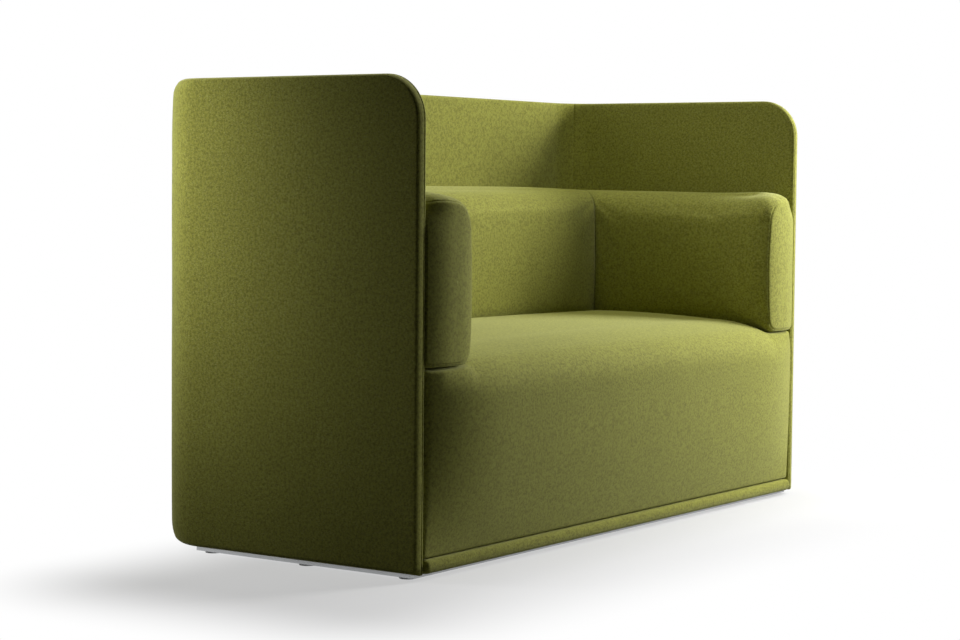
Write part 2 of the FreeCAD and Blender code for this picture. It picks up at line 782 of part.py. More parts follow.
def mitre_space(side):
    """The plan region in front of the mitre between an arm and the back bolster."""
    run = vec(side * value("arm_width"), value("back_bolster_depth"), 0)
    corner = vec(side * inner_half, inner_back - value("seam_gap") / 2, -FAR)
    ends = [corner + run * 2, corner - run * 3]
    ends += [vec(side * FAR / 2, -FAR, -FAR), vec(side * FAR / 2, ends[0].y, -FAR)]
    points = [ends[0], ends[1], vec(ends[1].x, -FAR, -FAR), ends[2], ends[3]]
    return Part.Face(Part.makePolygon(points + points[:1])).extrude(vec(0, 0, 2 * FAR))


def back_space():
    """The plan region between the two mitres."""
    gap = value("seam_gap") / 2
    reach = value("arm_width") * 2
    grow = value("back_bolster_depth") * 2
    left = vec(-inner_half, inner_back + gap, -FAR)
    right = vec(inner_half, inner_back + gap, -FAR)
    points = [left + vec(-reach, grow, 0), left + vec(reach, -grow, 0)]
    points += [right + vec(-reach, -grow, 0), right + vec(reach, grow, 0)]
    return Part.Face(Part.makePolygon(points + points[:1])).extrude(vec(0, 0, 2 * FAR))


def fitted(label, shape):
    """A soft piece trimmed to the screen and to the bolts' room."""
    blank = solid_feature(f"{label}_blank", shape)
    return drilled(label, boolean("Cut", f"{label}_fitted", blank, screen_tool))


BOARD_Z = ("bolster_board_low", "bolster_board_top")
ARM_BOARD_Y = ("frame_inner_front", "back_bolster_front")
end_cut = value("arm_front") + value("arm_end_depth")
end_space = block((-FAR, FAR), (-FAR, end_cut), (-FAR, FAR))
ARMS = (("left", -1, ("-inner_half", "-frame_x")), ("right", 1, ("frame_x", "inner_half")))
for name, side, board_x in ARMS:
    panel = slab(f"{name}_arm_panel", board_x, ARM_BOARD_Y, BOARD_Z)
    drilled(f"{name}_arm_board", panel)
    doc.recompute()
    space = mitre_space(side)
    stuffing = arm_form(side, cloth, cloth).common(space)
    skin = arm_form(side, 0.0, 0.0).common(space).cut(stuffing)
    fitted(f"{name}_arm_foam", stuffing.common(walls).cut(panel.Shape))
    fitted(f"{name}_arm_cover", skin.cut(end_space))
    fitted(f"{name}_arm_end_panel", skin.common(end_space))

back_x = ("bolster_board_margin - arm_inner_x", "arm_inner_x - bolster_board_margin")
back_panel = slab("back_panel", back_x, ("inner_back - frame_board_thickness", "inner_back"), BOARD_Z)
drilled("back_bolster_board", back_panel)
doc.recompute()
back_stuffing = back_form(cloth, cloth).common(back_space())
back_skin = back_form(0.0, 0.0).common(back_space())
fitted("back_bolster_foam", back_stuffing.common(walls).cut(back_panel.Shape))
fitted("back_bolster_cover", back_skin.cut(back_stuffing))

doc.recompute()

# Every piece has to be sound before any file is written
for item in doc.Objects:
    if {"Invalid", "Error"} & set(item.State):
        raise RuntimeError(f"{item.Label} failed to build")
for label, piece in nodes.items():
    if piece.Shape.isNull() or not piece.Shape.isValid() or not piece.Shape.Solids:
        raise RuntimeError(f"{label} has no sound solid")

os.makedirs("parts", exist_ok=True)
for label, piece in nodes.items():
    piece.Shape.exportStep(f"parts/{label}.step")
print(len(nodes), "pieces written")
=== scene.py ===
import math

import bmesh
import bpy
from mathutils import Matrix, Vector, noise


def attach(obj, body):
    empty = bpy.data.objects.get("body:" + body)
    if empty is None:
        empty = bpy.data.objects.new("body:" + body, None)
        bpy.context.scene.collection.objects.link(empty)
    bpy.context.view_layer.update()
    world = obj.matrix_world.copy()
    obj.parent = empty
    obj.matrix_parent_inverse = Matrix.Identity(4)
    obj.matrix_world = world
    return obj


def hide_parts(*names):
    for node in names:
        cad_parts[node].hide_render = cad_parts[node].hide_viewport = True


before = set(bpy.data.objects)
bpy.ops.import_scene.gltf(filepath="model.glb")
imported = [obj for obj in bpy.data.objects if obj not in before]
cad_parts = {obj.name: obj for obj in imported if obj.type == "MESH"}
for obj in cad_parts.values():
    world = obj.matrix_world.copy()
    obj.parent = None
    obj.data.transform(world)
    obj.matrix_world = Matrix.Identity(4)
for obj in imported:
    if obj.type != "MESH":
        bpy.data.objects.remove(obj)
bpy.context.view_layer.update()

# Sizes of the sofa in metres, most of them the same as in the part's source
OUTER_HALF = 0.825
INNER_HALF = 0.797
REAR = 0.3845
INNER_BACK = 0.3345
FRONT = -0.3395
FLOOR = 0.012
TOP = 1.012
OUTER_CORNER = 0.130
INNER_CORNER = 0.080
TOP_CORNER = 0.092
OUTER_ROLL = 0.006
OUTER_SPREAD = 0.018
INNER_ROLL = 0.006
FOOT_ROLL = 0.010
EDGE_SEAM = 0.008
BOLSTER_FLOOR = 0.426
BOLSTER_BULGE = 0.006
BOLSTER_CROWN = 0.003
SWELLING = 0.0045
LOW_ROUND = 0.028
TOP_ROUND = 0.058
WALL_ROUND = 0.045
ARM_WIDTH = 0.145
ARM_HEIGHT = 0.349
ARM_RISE = 0.009
ARM_FRONT = -0.357
BACK_DEPTH = 0.173
BACK_HEIGHT = 0.358
BACK_CROWN = 0.005
SEAT_HEIGHT = 0.470
SEAT_CROWN = 0.009
SEAT_SIDE_FALL = 0.008
SEAT_NOSE = 0.045
SEAT_END_NOSE = 0.002
SEAT_LOW = 0.043
SEAT_DRAW_IN = 0.65
NOSE_RADIUS = 0.085
SHOULDER_RADIUS = 0.430
SHOULDER_ANGLE = math.radians(16.7)
FRAME_FRONT = -0.3235
WEB_TOP = 0.334
BAND_TOP = 0.041
BAND_FRONT = -0.3475
BAND_ROUND = 0.0115
BAND_SIDE_GAP = 0.0005
REST_GAP = 0.0015
UNDER_BOLSTER = BOLSTER_FLOOR - REST_GAP
SHEET_HALF = 0.749
SHEET_DEPTH = 0.538
SHEET_MIDDLE = 0.0055
SHEET_TOP = 0.0116
GAP = 0.0012
CELL = 0.009
SHEET_CELL = 0.010
NEARLY = 1e-6

# How a sewn cover is blown up
CLOTH_QUALITY = 4
CLOTH_MASS = 0.3
CLOTH_STRETCH = 30
CLOTH_SHEAR = 15
CLOTH_BEND = 8
CLOTH_PRESSURE = 4.0
CLOTH_STEPS = 20
SWELL_CAP = 0.006
UNMOVED = 1e-7


# Helpers for sewn covers
def ring_of(bm, points):
    """A closed ring of edges through the points."""
    ring = [bm.verts.new(point) for point in points]
    for start, end in zip(ring, ring[1:] + ring[:1]):
        bm.edges.new((start, end))
    return ring


def edges_of(bm, ring):
    """The edges of a ring, in its order."""
    return [bm.edges.get(pair) for pair in zip(ring, ring[1:] + ring[:1])]


def extruded(bm, edges, verts):
    """Extrudes the edges, and gives what that makes and the new point drawn from each old one."""
    made = bmesh.ops.extrude_edge_only(bm, edges=edges)["geom"]
    fresh = {item for item in made if isinstance(item, bmesh.types.BMVert)}
    partners = []
    for vert in verts:
        partners.append(next(e.other_vert(vert) for e in vert.link_edges if e.other_vert(vert) in fresh))
    return made, partners


def drawn_on(bm, ring, points):
    """Extrudes a ring by one station and puts its points there."""
    partners = extruded(bm, edges_of(bm, ring), ring)[1]
    for partner, point in zip(partners, points):
        partner.co = point
    return partners


def closed_end(bm, ring):
    """Fills the open end that a ring leaves."""
    bmesh.ops.triangle_fill(bm, edges=edges_of(bm, ring), use_beauty=True)


def lofted(slices):
    """A closed cover through the slices, one after the other."""
    bm = bmesh.new()
    start = ring_of(bm, slices[0])
    ring = start
    for points in slices[1:]:
        ring = drawn_on(bm, ring, points)
    closed_end(bm, start)
    closed_end(bm, ring)
    bmesh.ops.recalc_face_normals(bm, faces=bm.faces)
    return bm


def marked_runs(ring):
    """The length along a ring for each of its points."""
    total = 0.0
    lengths = []
    for vert, after in zip(ring, ring[1:] + ring[:1]):
        lengths.append(total)
        total += (after.co - vert.co).length
    return lengths


def straight(start, end, count):
    """Points from start up to, but without, end."""
    a, b = Vector(start), Vector(end)
    return [a.lerp(b, k / count) for k in range(count)]


def bowed(start, end, rise, count):
    """Points along a shallow bow to the left of its run, without the last."""
    a, b = Vector(start), Vector(end)
    run = (b - a).normalized()
    up = Vector((run.y, -run.x))
    return [a.lerp(b, k / count) + up * rise * 4 * (k / count) * (1 - k / count) for k in range(count)]


def bent(centre, radius, start, end, count):
    """Points round an arc, angles in degrees, without the last."""
    points = []
    for k in range(count):
        angle = math.radians(start + (end - start) * k / count)
        points.append(Vector(centre) + Vector((math.cos(angle), math.sin(angle))) * radius)
    return points


def eased(value, low, high):
    """A smooth step from 0 at low to 1 at high."""
    share = min(1.0, max(0.0, (value - low) / (high - low)))
    return share * share * (3 - 2 * share)


def uneven(across, up, fineness, seed):
    """A smooth random value for a place, with a fineness of its own each way."""
    return noise.noise(Vector((across * fineness[0], up * fineness[1], seed)))


def sofa_piece(name, bm, material, nodes):
    """A finished cover that rides on the sofa in place of its CAD nodes."""
    mesh = bpy.data.meshes.new(name)
    bm.to_mesh(mesh)
    bm.free()
    mesh.shade_smooth()
    mesh.materials.append(material)
    piece = bpy.data.objects.new(name, mesh)
    bpy.context.scene.collection.objects.link(piece)
    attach(piece, "root")
    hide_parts(*nodes)
    return piece


def settled(piece):
    """Makes the live modifiers part of the piece's own mesh."""
    graph = bpy.context.evaluated_depsgraph_get()
    mesh = bpy.data.meshes.new_from_object(piece.evaluated_get(graph))
    piece.modifiers.clear()
    piece.vertex_groups.clear()
    piece.data = mesh
    mesh.shade_smooth()


def swollen(piece, held):
    """Blows a sewn cover up with Cloth, with each point kept within the cap of where it was cut."""
    group = piece.vertex_groups.new(name="sewn_down")
    group.add([vert.index for vert in piece.data.vertices if held(vert, piece)], 1.0, "REPLACE")
    cloth = piece.modifiers.new("swelling", "CLOTH")
    cloth.settings.quality = CLOTH_QUALITY
    cloth.settings.mass = CLOTH_MASS
    cloth.settings.tension_stiffness = CLOTH_STRETCH
    cloth.settings.compression_stiffness = CLOTH_STRETCH
    cloth.settings.shear_stiffness = CLOTH_SHEAR
    cloth.settings.bending_stiffness = CLOTH_BEND
    cloth.settings.use_pressure = True
    cloth.settings.uniform_pressure_force = CLOTH_PRESSURE
    cloth.settings.effector_weights.gravity = 0
    cloth.settings.vertex_group_mass = "sewn_down"
    cloth.collision_settings.use_collision = False
    scene = bpy.context.scene
    for number in range(1, CLOTH_STEPS + 1):
        scene.frame_set(number)
    graph = bpy.context.evaluated_depsgraph_get()
    places = [vert.co.copy() for vert in piece.evaluated_get(graph).data.vertices]
    piece.modifiers.remove(cloth)
    scene.frame_set(1)
    for vert, place in zip(piece.data.vertices, places):
        step = place - vert.co
        if step.length > UNMOVED:
            vert.co += step * (SWELL_CAP * math.tanh(step.length / SWELL_CAP) / step.length)


def subdivided(piece):
    """Rounds a cover with one level of subdivision."""
    smooth = piece.modifiers.new("rounding", "SUBSURF")
    smooth.levels = 1
    smooth.render_levels = 1
    settled(piece)


# Shader node groups
GROUP_OUTPUTS = (
    ("Colour", "NodeSocketColor"),
    ("Height", "NodeSocketFloat"),
    ("Roughness", "NodeSocketFloat"),
)


def group_of(name, inputs):
    """An empty shader group with its inputs, the usual outputs, and the nodes that stand for both."""
    tree = bpy.data.node_groups.new(name, "ShaderNodeTree")
    for label, kind, default in inputs:
        socket = tree.interface.new_socket(name=label, in_out="INPUT", socket_type=kind)
        socket.default_value = default
    for label, kind in GROUP_OUTPUTS:
        tree.interface.new_socket(name=label, in_out="OUTPUT", socket_type=kind)
    entry = tree.nodes.new("NodeGroupInput")
    leave = tree.nodes.new("NodeGroupOutput")
    return tree, entry, leave


def noise_node(tree, vector, scale, detail, roughness):
    """A noise pattern over the vector."""
    node = tree.nodes.new("ShaderNodeTexNoise")
    node.inputs["Scale"].default_value = scale
    node.inputs["Detail"].default_value = detail
    node.inputs["Roughness"].default_value = roughness
    tree.links.new(vector, node.inputs["Vector"])
    return node.outputs["Fac"]


def sum_node(tree, operation, first, second):
    """One step of arithmetic on two sockets or numbers."""
    node = tree.nodes.new("ShaderNodeMath")
    node.operation = operation
    for socket, value in zip(node.inputs, (first, second)):
        if isinstance(value, (int, float)):
            socket.default_value = value
        else:
            tree.links.new(value, socket)
    return node.outputs[0]


def ranged(tree, value, low, high, to_low, to_high):
    """A smooth change from one number to another while the value goes from low to high."""
    node = tree.nodes.new("ShaderNodeMapRange")
    node.interpolation_type = "SMOOTHSTEP"
    for label, number in (("From Min", low), ("From Max", high), ("To Min", to_low), ("To Max", to_high)):
        node.inputs[label].default_value = number
    tree.links.new(value, node.inputs["Value"])
    return node.outputs["Result"]


def mixed(tree, share, first, second):
    """A mix of two colours. Inputs 6 and 7 and output 2 are the node's sockets for colours."""
    node = tree.nodes.new("ShaderNodeMix")
    node.data_type = "RGBA"
    tree.links.new(share, node.inputs["Factor"])
    for socket, value in ((node.inputs[6], first), (node.inputs[7], second)):
        if isinstance(value, tuple):
            socket.default_value = value
        else:
            tree.links.new(value, socket)
    return node.outputs[2]


def felted_wool_group():
    """Wool felt spun from light and dark fibres: flecks, fine fuzz and a slow change of shade."""
    tree, entry, leave = group_of("felted_wool", [
        ("Dark Fibre", "NodeSocketColor", (0.1, 0.1, 0.02, 1)),
        ("Ground", "NodeSocketColor", (0.3, 0.3, 0.08, 1)),
        ("Light Fibre", "NodeSocketColor", (0.5, 0.5, 0.2, 1)),
    ])
    dark_colour = entry.outputs["Dark Fibre"]
    place = tree.nodes.new("ShaderNodeTexCoord").outputs["Object"]
    grain = noise_node(tree, place, scale=172.0, detail=4.0, roughness=0.76)
    fibre = noise_node(tree, place, scale=1150.0, detail=2.0, roughness=0.55)
    cloud = noise_node(tree, place, scale=7.0, detail=2.0, roughness=0.5)
    stretch = tree.nodes.new("ShaderNodeMapping")
    stretch.inputs["Rotation"].default_value = (0.6, 0.9, 0.4)
    stretch.inputs["Scale"].default_value = (1.0, 0.22, 1.0)
    tree.links.new(place, stretch.inputs["Vector"])
    hair = noise_node(tree, stretch.outputs["Vector"], scale=900.0, detail=2.0, roughness=0.6)
    dark_share = sum_node(tree, "MULTIPLY", ranged(tree, grain, 0.36, 0.60, 1.0, 0.0), 0.85)
    light_share = sum_node(tree, "MULTIPLY", ranged(tree, hair, 0.52, 0.72, 0.0, 1.0), 0.6)
    colour = mixed(tree, dark_share, entry.outputs["Ground"], dark_colour)
    colour = mixed(tree, light_share, colour, entry.outputs["Light Fibre"])
    colour = mixed(tree, ranged(tree, cloud, 0.3, 0.7, 0.0, 0.10), colour, dark_colour)
    height = sum_node(tree, "MULTIPLY", grain, 0.55)
    for fuzz in (fibre, hair):
        height = sum_node(tree, "ADD", height, sum_node(tree, "MULTIPLY", fuzz, 0.3))
    tree.links.new(colour, leave.inputs["Colour"])
    tree.links.new(height, leave.inputs["Height"])
    tree.links.new(ranged(tree, fibre, 0.3, 0.7, 0.82, 0.97), leave.inputs["Roughness"])
    return tree


def grained_group():
    """Long grain or drawn lines along one direction, with a slow cloud, for boards, metal and plastic."""
    tree, entry, leave = group_of("grained", [
        ("Low", "NodeSocketColor", (0.2, 0.2, 0.2, 1)),
        ("High", "NodeSocketColor", (0.6, 0.6, 0.6, 1)),
        ("Fineness", "NodeSocketFloat", 60.0),
        ("Stretch", "NodeSocketVector", (1.0, 1.0, 1.0)),
    ])
    place = tree.nodes.new("ShaderNodeTexCoord").outputs["Object"]
    stretch = tree.nodes.new("ShaderNodeMapping")
    tree.links.new(place, stretch.inputs["Vector"])
    tree.links.new(entry.outputs["Stretch"], stretch.inputs["Scale"])
    lines = tree.nodes.new("ShaderNodeTexNoise")
    lines.inputs["Detail"].default_value = 5.0
    lines.inputs["Roughness"].default_value = 0.65
    lines.inputs["Distortion"].default_value = 0.4
    tree.links.new(stretch.outputs["Vector"], lines.inputs["Vector"])
    tree.links.new(entry.outputs["Fineness"], lines.inputs["Scale"])
    grain = lines.outputs["Fac"]
    cloud = noise_node(tree, place, scale=9.0, detail=2.0, roughness=0.5)
    grain_share = ranged(tree, grain, 0.3, 0.7, 0.0, 0.75)
    share = sum_node(tree, "ADD", grain_share, ranged(tree, cloud, 0.3, 0.7, 0.0, 0.25))
    tree.links.new(mixed(tree, share, entry.outputs["Low"], entry.outputs["High"]), leave.inputs["Colour"])
    tree.links.new(grain, leave.inputs["Height"])
    tree.links.new(ranged(tree, grain, 0.3, 0.7, 0.35, 0.6), leave.inputs["Roughness"])
    return tree


# Finishes
def finish_of(name, tree, group_values, bump, depth, shader_values):
    """A material whose colour, roughness and relief come from one of the groups."""
    material = bpy.data.materials.new(name)
    material.use_nodes = True
    nodes, links = material.node_tree.nodes, material.node_tree.links
    shader = nodes["Principled BSDF"]
    group = nodes.new("ShaderNodeGroup")
    group.node_tree = tree
    for label, value in group_values.items():
        group.inputs[label].default_value = value
    for label, value in shader_values.items():
        shader.inputs[label].default_value = value
    relief = nodes.new("ShaderNodeBump")
    relief.inputs["Strength"].default_value = bump
    relief.inputs["Distance"].default_value = depth
    links.new(group.outputs["Colour"], shader.inputs["Base Color"])
    links.new(group.outputs["Roughness"], shader.inputs["Roughness"])
    links.new(group.outputs["Height"], relief.inputs["Height"])
    links.new(relief.outputs["Normal"], shader.inputs["Normal"])
    return material


felted_wool = felted_wool_group()
grained = grained_group()
EVEN = (1.0, 1.0, 1.0)


def grained_finish(name, low, high, fineness, stretch, bump, depth, metallic=0.0):
    """A board, metal, plastic, strap or lining with its own grain."""
    grain = {"Low": (*low, 1), "High": (*high, 1), "Fineness": fineness, "Stretch": stretch}
    return finish_of(name, grained, grain, bump, depth, {"Metallic": metallic})


green_fibres = {
    "Dark Fibre": (0.162, 0.160, 0.025, 1),
    "Ground": (0.352, 0.355, 0.060, 1),
    "Light Fibre": (0.570, 0.570, 0.195, 1),
}
soft_nap = {
    "Specular IOR Level": 0.12,
    "Sheen Weight": 0.48,
    "Sheen Roughness": 0.45,
    "Sheen Tint": (0.88, 0.90, 0.46, 1),
}
wool_cloth = finish_of(
    "green_felted_wool", felted_wool, green_fibres, bump=0.35, depth=0.0007, shader_values=soft_nap)
birch_ply = grained_finish(
    "birch_plywood", low=(0.42, 0.27, 0.14), high=(0.66, 0.48, 0.29),
    fineness=38.0, stretch=(0.6, 0.6, 5.0), bump=0.15, depth=0.0006)
base_paint = grained_finish(
    "silver_base_paint", low=(0.42, 0.43, 0.44), high=(0.52, 0.53, 0.54),
    fineness=420.0, stretch=EVEN, bump=0.12, depth=0.0003, metallic=0.9)
glide_nylon = grained_finish(
    "grey_glide_nylon", low=(0.62, 0.63, 0.64), high=(0.70, 0.71, 0.72),
    fineness=600.0, stretch=EVEN, bump=0.10, depth=0.0002)
zinc_steel = grained_finish(
    "zinc_plated_steel", low=(0.50, 0.51, 0.53), high=(0.72, 0.73, 0.74),
    fineness=300.0, stretch=(1.0, 1.0, 0.2), bump=0.08, depth=0.0001, metallic=1.0)
web_strap = grained_finish(
    "seat_webbing", low=(0.30, 0.27, 0.22), high=(0.46, 0.42, 0.35),
    fineness=900.0, stretch=(0.3, 1.0, 1.0), bump=0.4, depth=0.0004)
dust_lining = grained_finish(
    "dust_cloth", low=(0.012, 0.012, 0.013), high=(0.030, 0.030, 0.032),
    fineness=700.0, stretch=EVEN, bump=0.3, depth=0.0003)

node_finishes = {
    "board": birch_ply,
    "block": birch_ply,
    "spacer": birch_ply,
    "core": birch_ply,
    "bar": base_paint,
    "glides": glide_nylon,
    "screws": zinc_steel,
    "bolts": zinc_steel,
    "washers": zinc_steel,
    "tee_nuts": zinc_steel,
    "webbing": web_strap,
}
for label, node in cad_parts.items():
    finish = [material for word, material in node_finishes.items() if word in label]
    if finish:
        node.data.materials.clear()
        node.data.materials.append(finish[0])


def wool_piece(name, bm, nodes):
    """A padded piece covered in the green wool."""
    piece = sofa_piece(name, bm, wool_cloth, nodes)
    return piece


# The padded screen: its rolled edge, tucked into the seam, and the seams in its inner corners
ROLL_ANGLE = math.radians(80)
ROLL_END = 0.0016
ROLL_SHARES = (0.3, 0.6, 0.9)
TUCK_ROWS = ((0.0004, 0.0011), (0.0015, 0.0004), (0.0050, 0.0002))
OUTER_ROLL_STEPS = 9
INNER_ROLL_STEPS = 4
CORNER_CELLS = 8
SEAM_CUTS = (-0.006, -0.003, -0.0012, 0.0, 0.0012, 0.003, 0.006)
SEAM_DIP = 0.0020
SEAM_DIP_WIDTH = 0.0022
# How uneven the cloth is, and how far its waves may stand out
BROAD_WAVE = 0.0009
BROAD_FINENESS = (5.0, 4.0)
FINE_WAVE = 0.0003
FINE_FINENESS = (17.0, 14.0)
WAVE_OUT = 0.0004
WAVE_FADE = 0.004
# How far the outer cloth is drawn in at the rear corners, and over what height
TOP_PULL = 0.022
TOP_PULL_REACH = 0.036
SLOW_PULL = 0.004
SLOW_PULL_REACH = 0.13
FOOT_PULL = 0.018
FOOT_PULL_REACH = 0.050


def screen_path(half, rear, radius, along):
    """The place on the screen's plan and the direction away from the seat, from the left front edge on."""
    side = rear - radius - FRONT
    turn = radius * math.pi / 2
    back = 2 * (half - radius)
    if along <= side:
        return Vector((-half, FRONT + along)), Vector((-1, 0))
    along -= side
    if along <= turn:
        away = Vector((-math.cos(along / radius), math.sin(along / radius)))
        return Vector((radius - half, rear - radius)) + away * radius, away
    along -= turn
    if along <= back:
        return Vector((radius - half + along, rear)), Vector((0, 1))
    along -= back
    if along <= turn:
        away = Vector((math.sin(along / radius), math.cos(along / radius)))
        return Vector((half - radius, rear - radius)) + away * radius, away
    return Vector((half, rear - radius - along + turn)), Vector((1, 0))


def path_length(half, rear, radius):
    """The length of the screen's plan from one front edge to the other."""
    return 2 * (rear - radius - FRONT) + math.pi * radius + 2 * (half - radius)


def wall_at(along):
    """How thick the screen is, from its outer face straight in to its inner face."""
    away = screen_path(OUTER_HALF, REAR, OUTER_CORNER, along)[1]
    across, deep = abs(away.x), max(abs(away.y), NEARLY)
    shift = INNER_HALF - INNER_CORNER - (OUTER_HALF - OUTER_CORNER)
    flat = INNER_CORNER / deep
    if flat * across < shift:
        return OUTER_CORNER - flat
    spread = math.sqrt(max(0.0, INNER_CORNER ** 2 - (shift * deep) ** 2))
    return OUTER_CORNER - (shift * across + spread)


def outer_seam(along):
    """How deep the outer cloth goes over the edge to its seam."""
    return wall_at(along) - EDGE_SEAM


def inner_seam(along):
    """How deep the inner cloth goes, which is the same all the way round."""
    return EDGE_SEAM


def edge_rows(roll, spread, seam, steps):
    """Offsets and depths over a rolled edge: round, then straight, then down into the seam."""
    rows = []
    for k in range(1, steps + 1):
        angle = ROLL_ANGLE * k / steps
        rows.append((roll * math.sin(angle), spread * (1 - math.cos(angle))))
    reached = rows[-1][1]
    for share in ROLL_SHARES:
        rows.append((roll, reached + (seam - ROLL_END - reached) * share))
    for drawn, short in TUCK_ROWS:
        rows.append((roll - drawn, seam - short))
    return rows


def rolled_cloth(length, roll, spread, steps, seam_depth, cuts):
    """A flat cloth with round top corners, its whole edge drawn over the roll and into the seam."""
    corner = TOP_CORNER - roll
    foot = FLOOR + FOOT_ROLL
    turn = CORNER_CELLS
    columns = 2 * turn + round((length - 2 * TOP_CORNER) / CELL)
    rows = turn + round((TOP - TOP_CORNER - foot) / CELL)
    bm = bmesh.new()
    bmesh.ops.create_grid(bm, x_segments=columns, y_segments=rows, size=1.0)
    for vert in bm.verts:
        i = round((vert.co.x + 1) / 2 * columns)
        j = round((vert.co.y + 1) / 2 * rows)
        end = min(i, columns - i)
        near = TOP_CORNER + (end - turn) * (length - 2 * TOP_CORNER) / (columns - 2 * turn)
        high = foot + (TOP - TOP_CORNER - foot) * j / (rows - turn)
        a = max(0.0, 1 - end / turn)
        b = max(0.0, 1 - (rows - j) / turn)
        if a > 0:
            near = TOP_CORNER - corner * a * math.sqrt(1 - b * b / 2)
        if b > 0:
            high = TOP - TOP_CORNER + corner * b * math.sqrt(1 - a * a / 2)
        vert.co = (near if i * 2 <= columns else length - near, high, 0.0)
    for cut in cuts:
        for step in SEAM_CUTS:
            geometry = bm.verts[:] + bm.edges[:] + bm.faces[:]
            bmesh.ops.bisect_plane(bm, geom=geometry, plane_co=(cut + step, 0, 0), plane_no=(1, 0, 0))

    def outward(place):
        near = min(place.x, length - place.x)
        side = -1 if place.x * 2 < length else 1
        across = (TOP_CORNER - near) / corner
        up = (place.y - TOP + TOP_CORNER) / corner
        if across > 0 and up > 0:
            return Vector((side * across, up))
        down = -FOOT_ROLL / roll if place.y < foot + NEARLY else 0.0
        return Vector((side if across > 1 - NEARLY else 0.0, 1.0 if up > 1 - NEARLY else down))

    edges = [edge for edge in bm.edges if edge.is_boundary]
    rim = {vert: (vert.co.copy(), outward(vert.co)) for edge in edges for vert in edge.verts}
    for row in range(steps + len(ROLL_SHARES) + len(TUCK_ROWS)):
        made, partners = extruded(bm, edges, rim)
        for partner, (base, direction) in zip(partners, rim.values()):
            offset, depth = edge_rows(roll, spread, seam_depth(base.x), steps)[row]
            partner.co = (base.x + direction.x * offset, base.y + direction.y * offset, depth)
        edges = [e for e in made if isinstance(e, bmesh.types.BMEdge) and e.is_boundary]
        rim = dict(zip(partners, rim.values()))
    return bm


def slow_waves(along, height, seed):
    """The slight unevenness of cloth drawn over foam."""
    broad = uneven(along, height, BROAD_FINENESS, seed)
    fine = uneven(along, height, FINE_FINENESS, seed + 7)
    return BROAD_WAVE * broad + FINE_WAVE * fine


def drawn_corner(away, height):
    """How far the cloth is pulled in where it turns a rear corner, near the top and near the foot."""
    turn = 2 * abs(away.x * away.y)
    high = max(0.0, 1 - (TOP - height) / TOP_PULL_REACH)
    low = max(0.0, 1 - (height - FLOOR) / FOOT_PULL_REACH)
    slow = max(0.0, 1 - (TOP - height) / SLOW_PULL_REACH)
    pull = TOP_PULL * (1 - math.sqrt(1 - high * high)) + SLOW_PULL * slow * slow
    return turn * (pull + FOOT_PULL * (1 - math.sqrt(1 - low * low)))


def rearmost(face):
    """A measure that is highest for the face in the middle of the back."""
    middle = face.calc_center_median()
    return middle.y * 10 - abs(middle.x)


def wrapped(bm, half, rear, radius, inward, cuts, seed):
    """Bends the flat cloth round the screen's plan and turns its faces to the open side."""
    for vert in bm.verts:
        along, height, depth = vert.co
        place, away = screen_path(half, rear, radius, along)
        fade = eased(depth, WAVE_FADE, 0.0)
        depth += fade * max(-WAVE_OUT, slow_waves(along, height, seed))
        if inward > 0:
            left = max(0.0, 1 - depth / outer_seam(along))
            depth += drawn_corner(away, min(TOP, max(FLOOR, height))) * left
        for cut in cuts:
            depth += SEAM_DIP * math.exp(-((along - cut) / SEAM_DIP_WIDTH) ** 2)
        spot = place - away * depth * inward
        vert.co = (spot.x, spot.y, height)
    bmesh.ops.recalc_face_normals(bm, faces=bm.faces)
    bm.faces.ensure_lookup_table()
    if max(bm.faces, key=rearmost).normal.y * inward < 0:
        bmesh.ops.reverse_faces(bm, faces=bm.faces)


outer_length = path_length(OUTER_HALF, REAR, OUTER_CORNER)
inner_length = path_length(INNER_HALF, INNER_BACK, INNER_CORNER)
outer_cloth = rolled_cloth(outer_length, OUTER_ROLL, OUTER_SPREAD, OUTER_ROLL_STEPS, outer_seam, [])
wrapped(outer_cloth, OUTER_HALF, REAR, OUTER_CORNER, inward=1, cuts=[], seed=3.0)
bend_middle = INNER_BACK - INNER_CORNER - FRONT + INNER_CORNER * math.pi / 4
corner_seams = [bend_middle, inner_length - bend_middle]
inner_cloth = rolled_cloth(inner_length, INNER_ROLL, INNER_ROLL, INNER_ROLL_STEPS, inner_seam, corner_seams)
wrapped(inner_cloth, INNER_HALF, INNER_BACK, INNER_CORNER, inward=-1, cuts=corner_seams, seed=11.0)
zones = ("left", "right", "back", "left_corner", "right_corner")
outer_nodes = ["shell_outer_cover"] + [f"shell_{zone}_outer_padding" for zone in zones]
inner_nodes = ["shell_inner_cover"] + [f"shell_{zone}_inner_padding" for zone in zones]
wool_piece("screen_outer_cloth", outer_cloth, outer_nodes)
wool_piece("screen_inner_cloth", inner_cloth, inner_nodes)


# Arm and back bolsters: points on each stretch of a slice, from the screen along the underside and round
UNDER_POINTS = 9
LOW_ROUND_POINTS = 6
FACE_POINTS = 28
TOP_ROUND_POINTS = 20
CROWN_POINTS = 12
WALL_ROUND_POINTS = 16
WALL_POINTS = 20


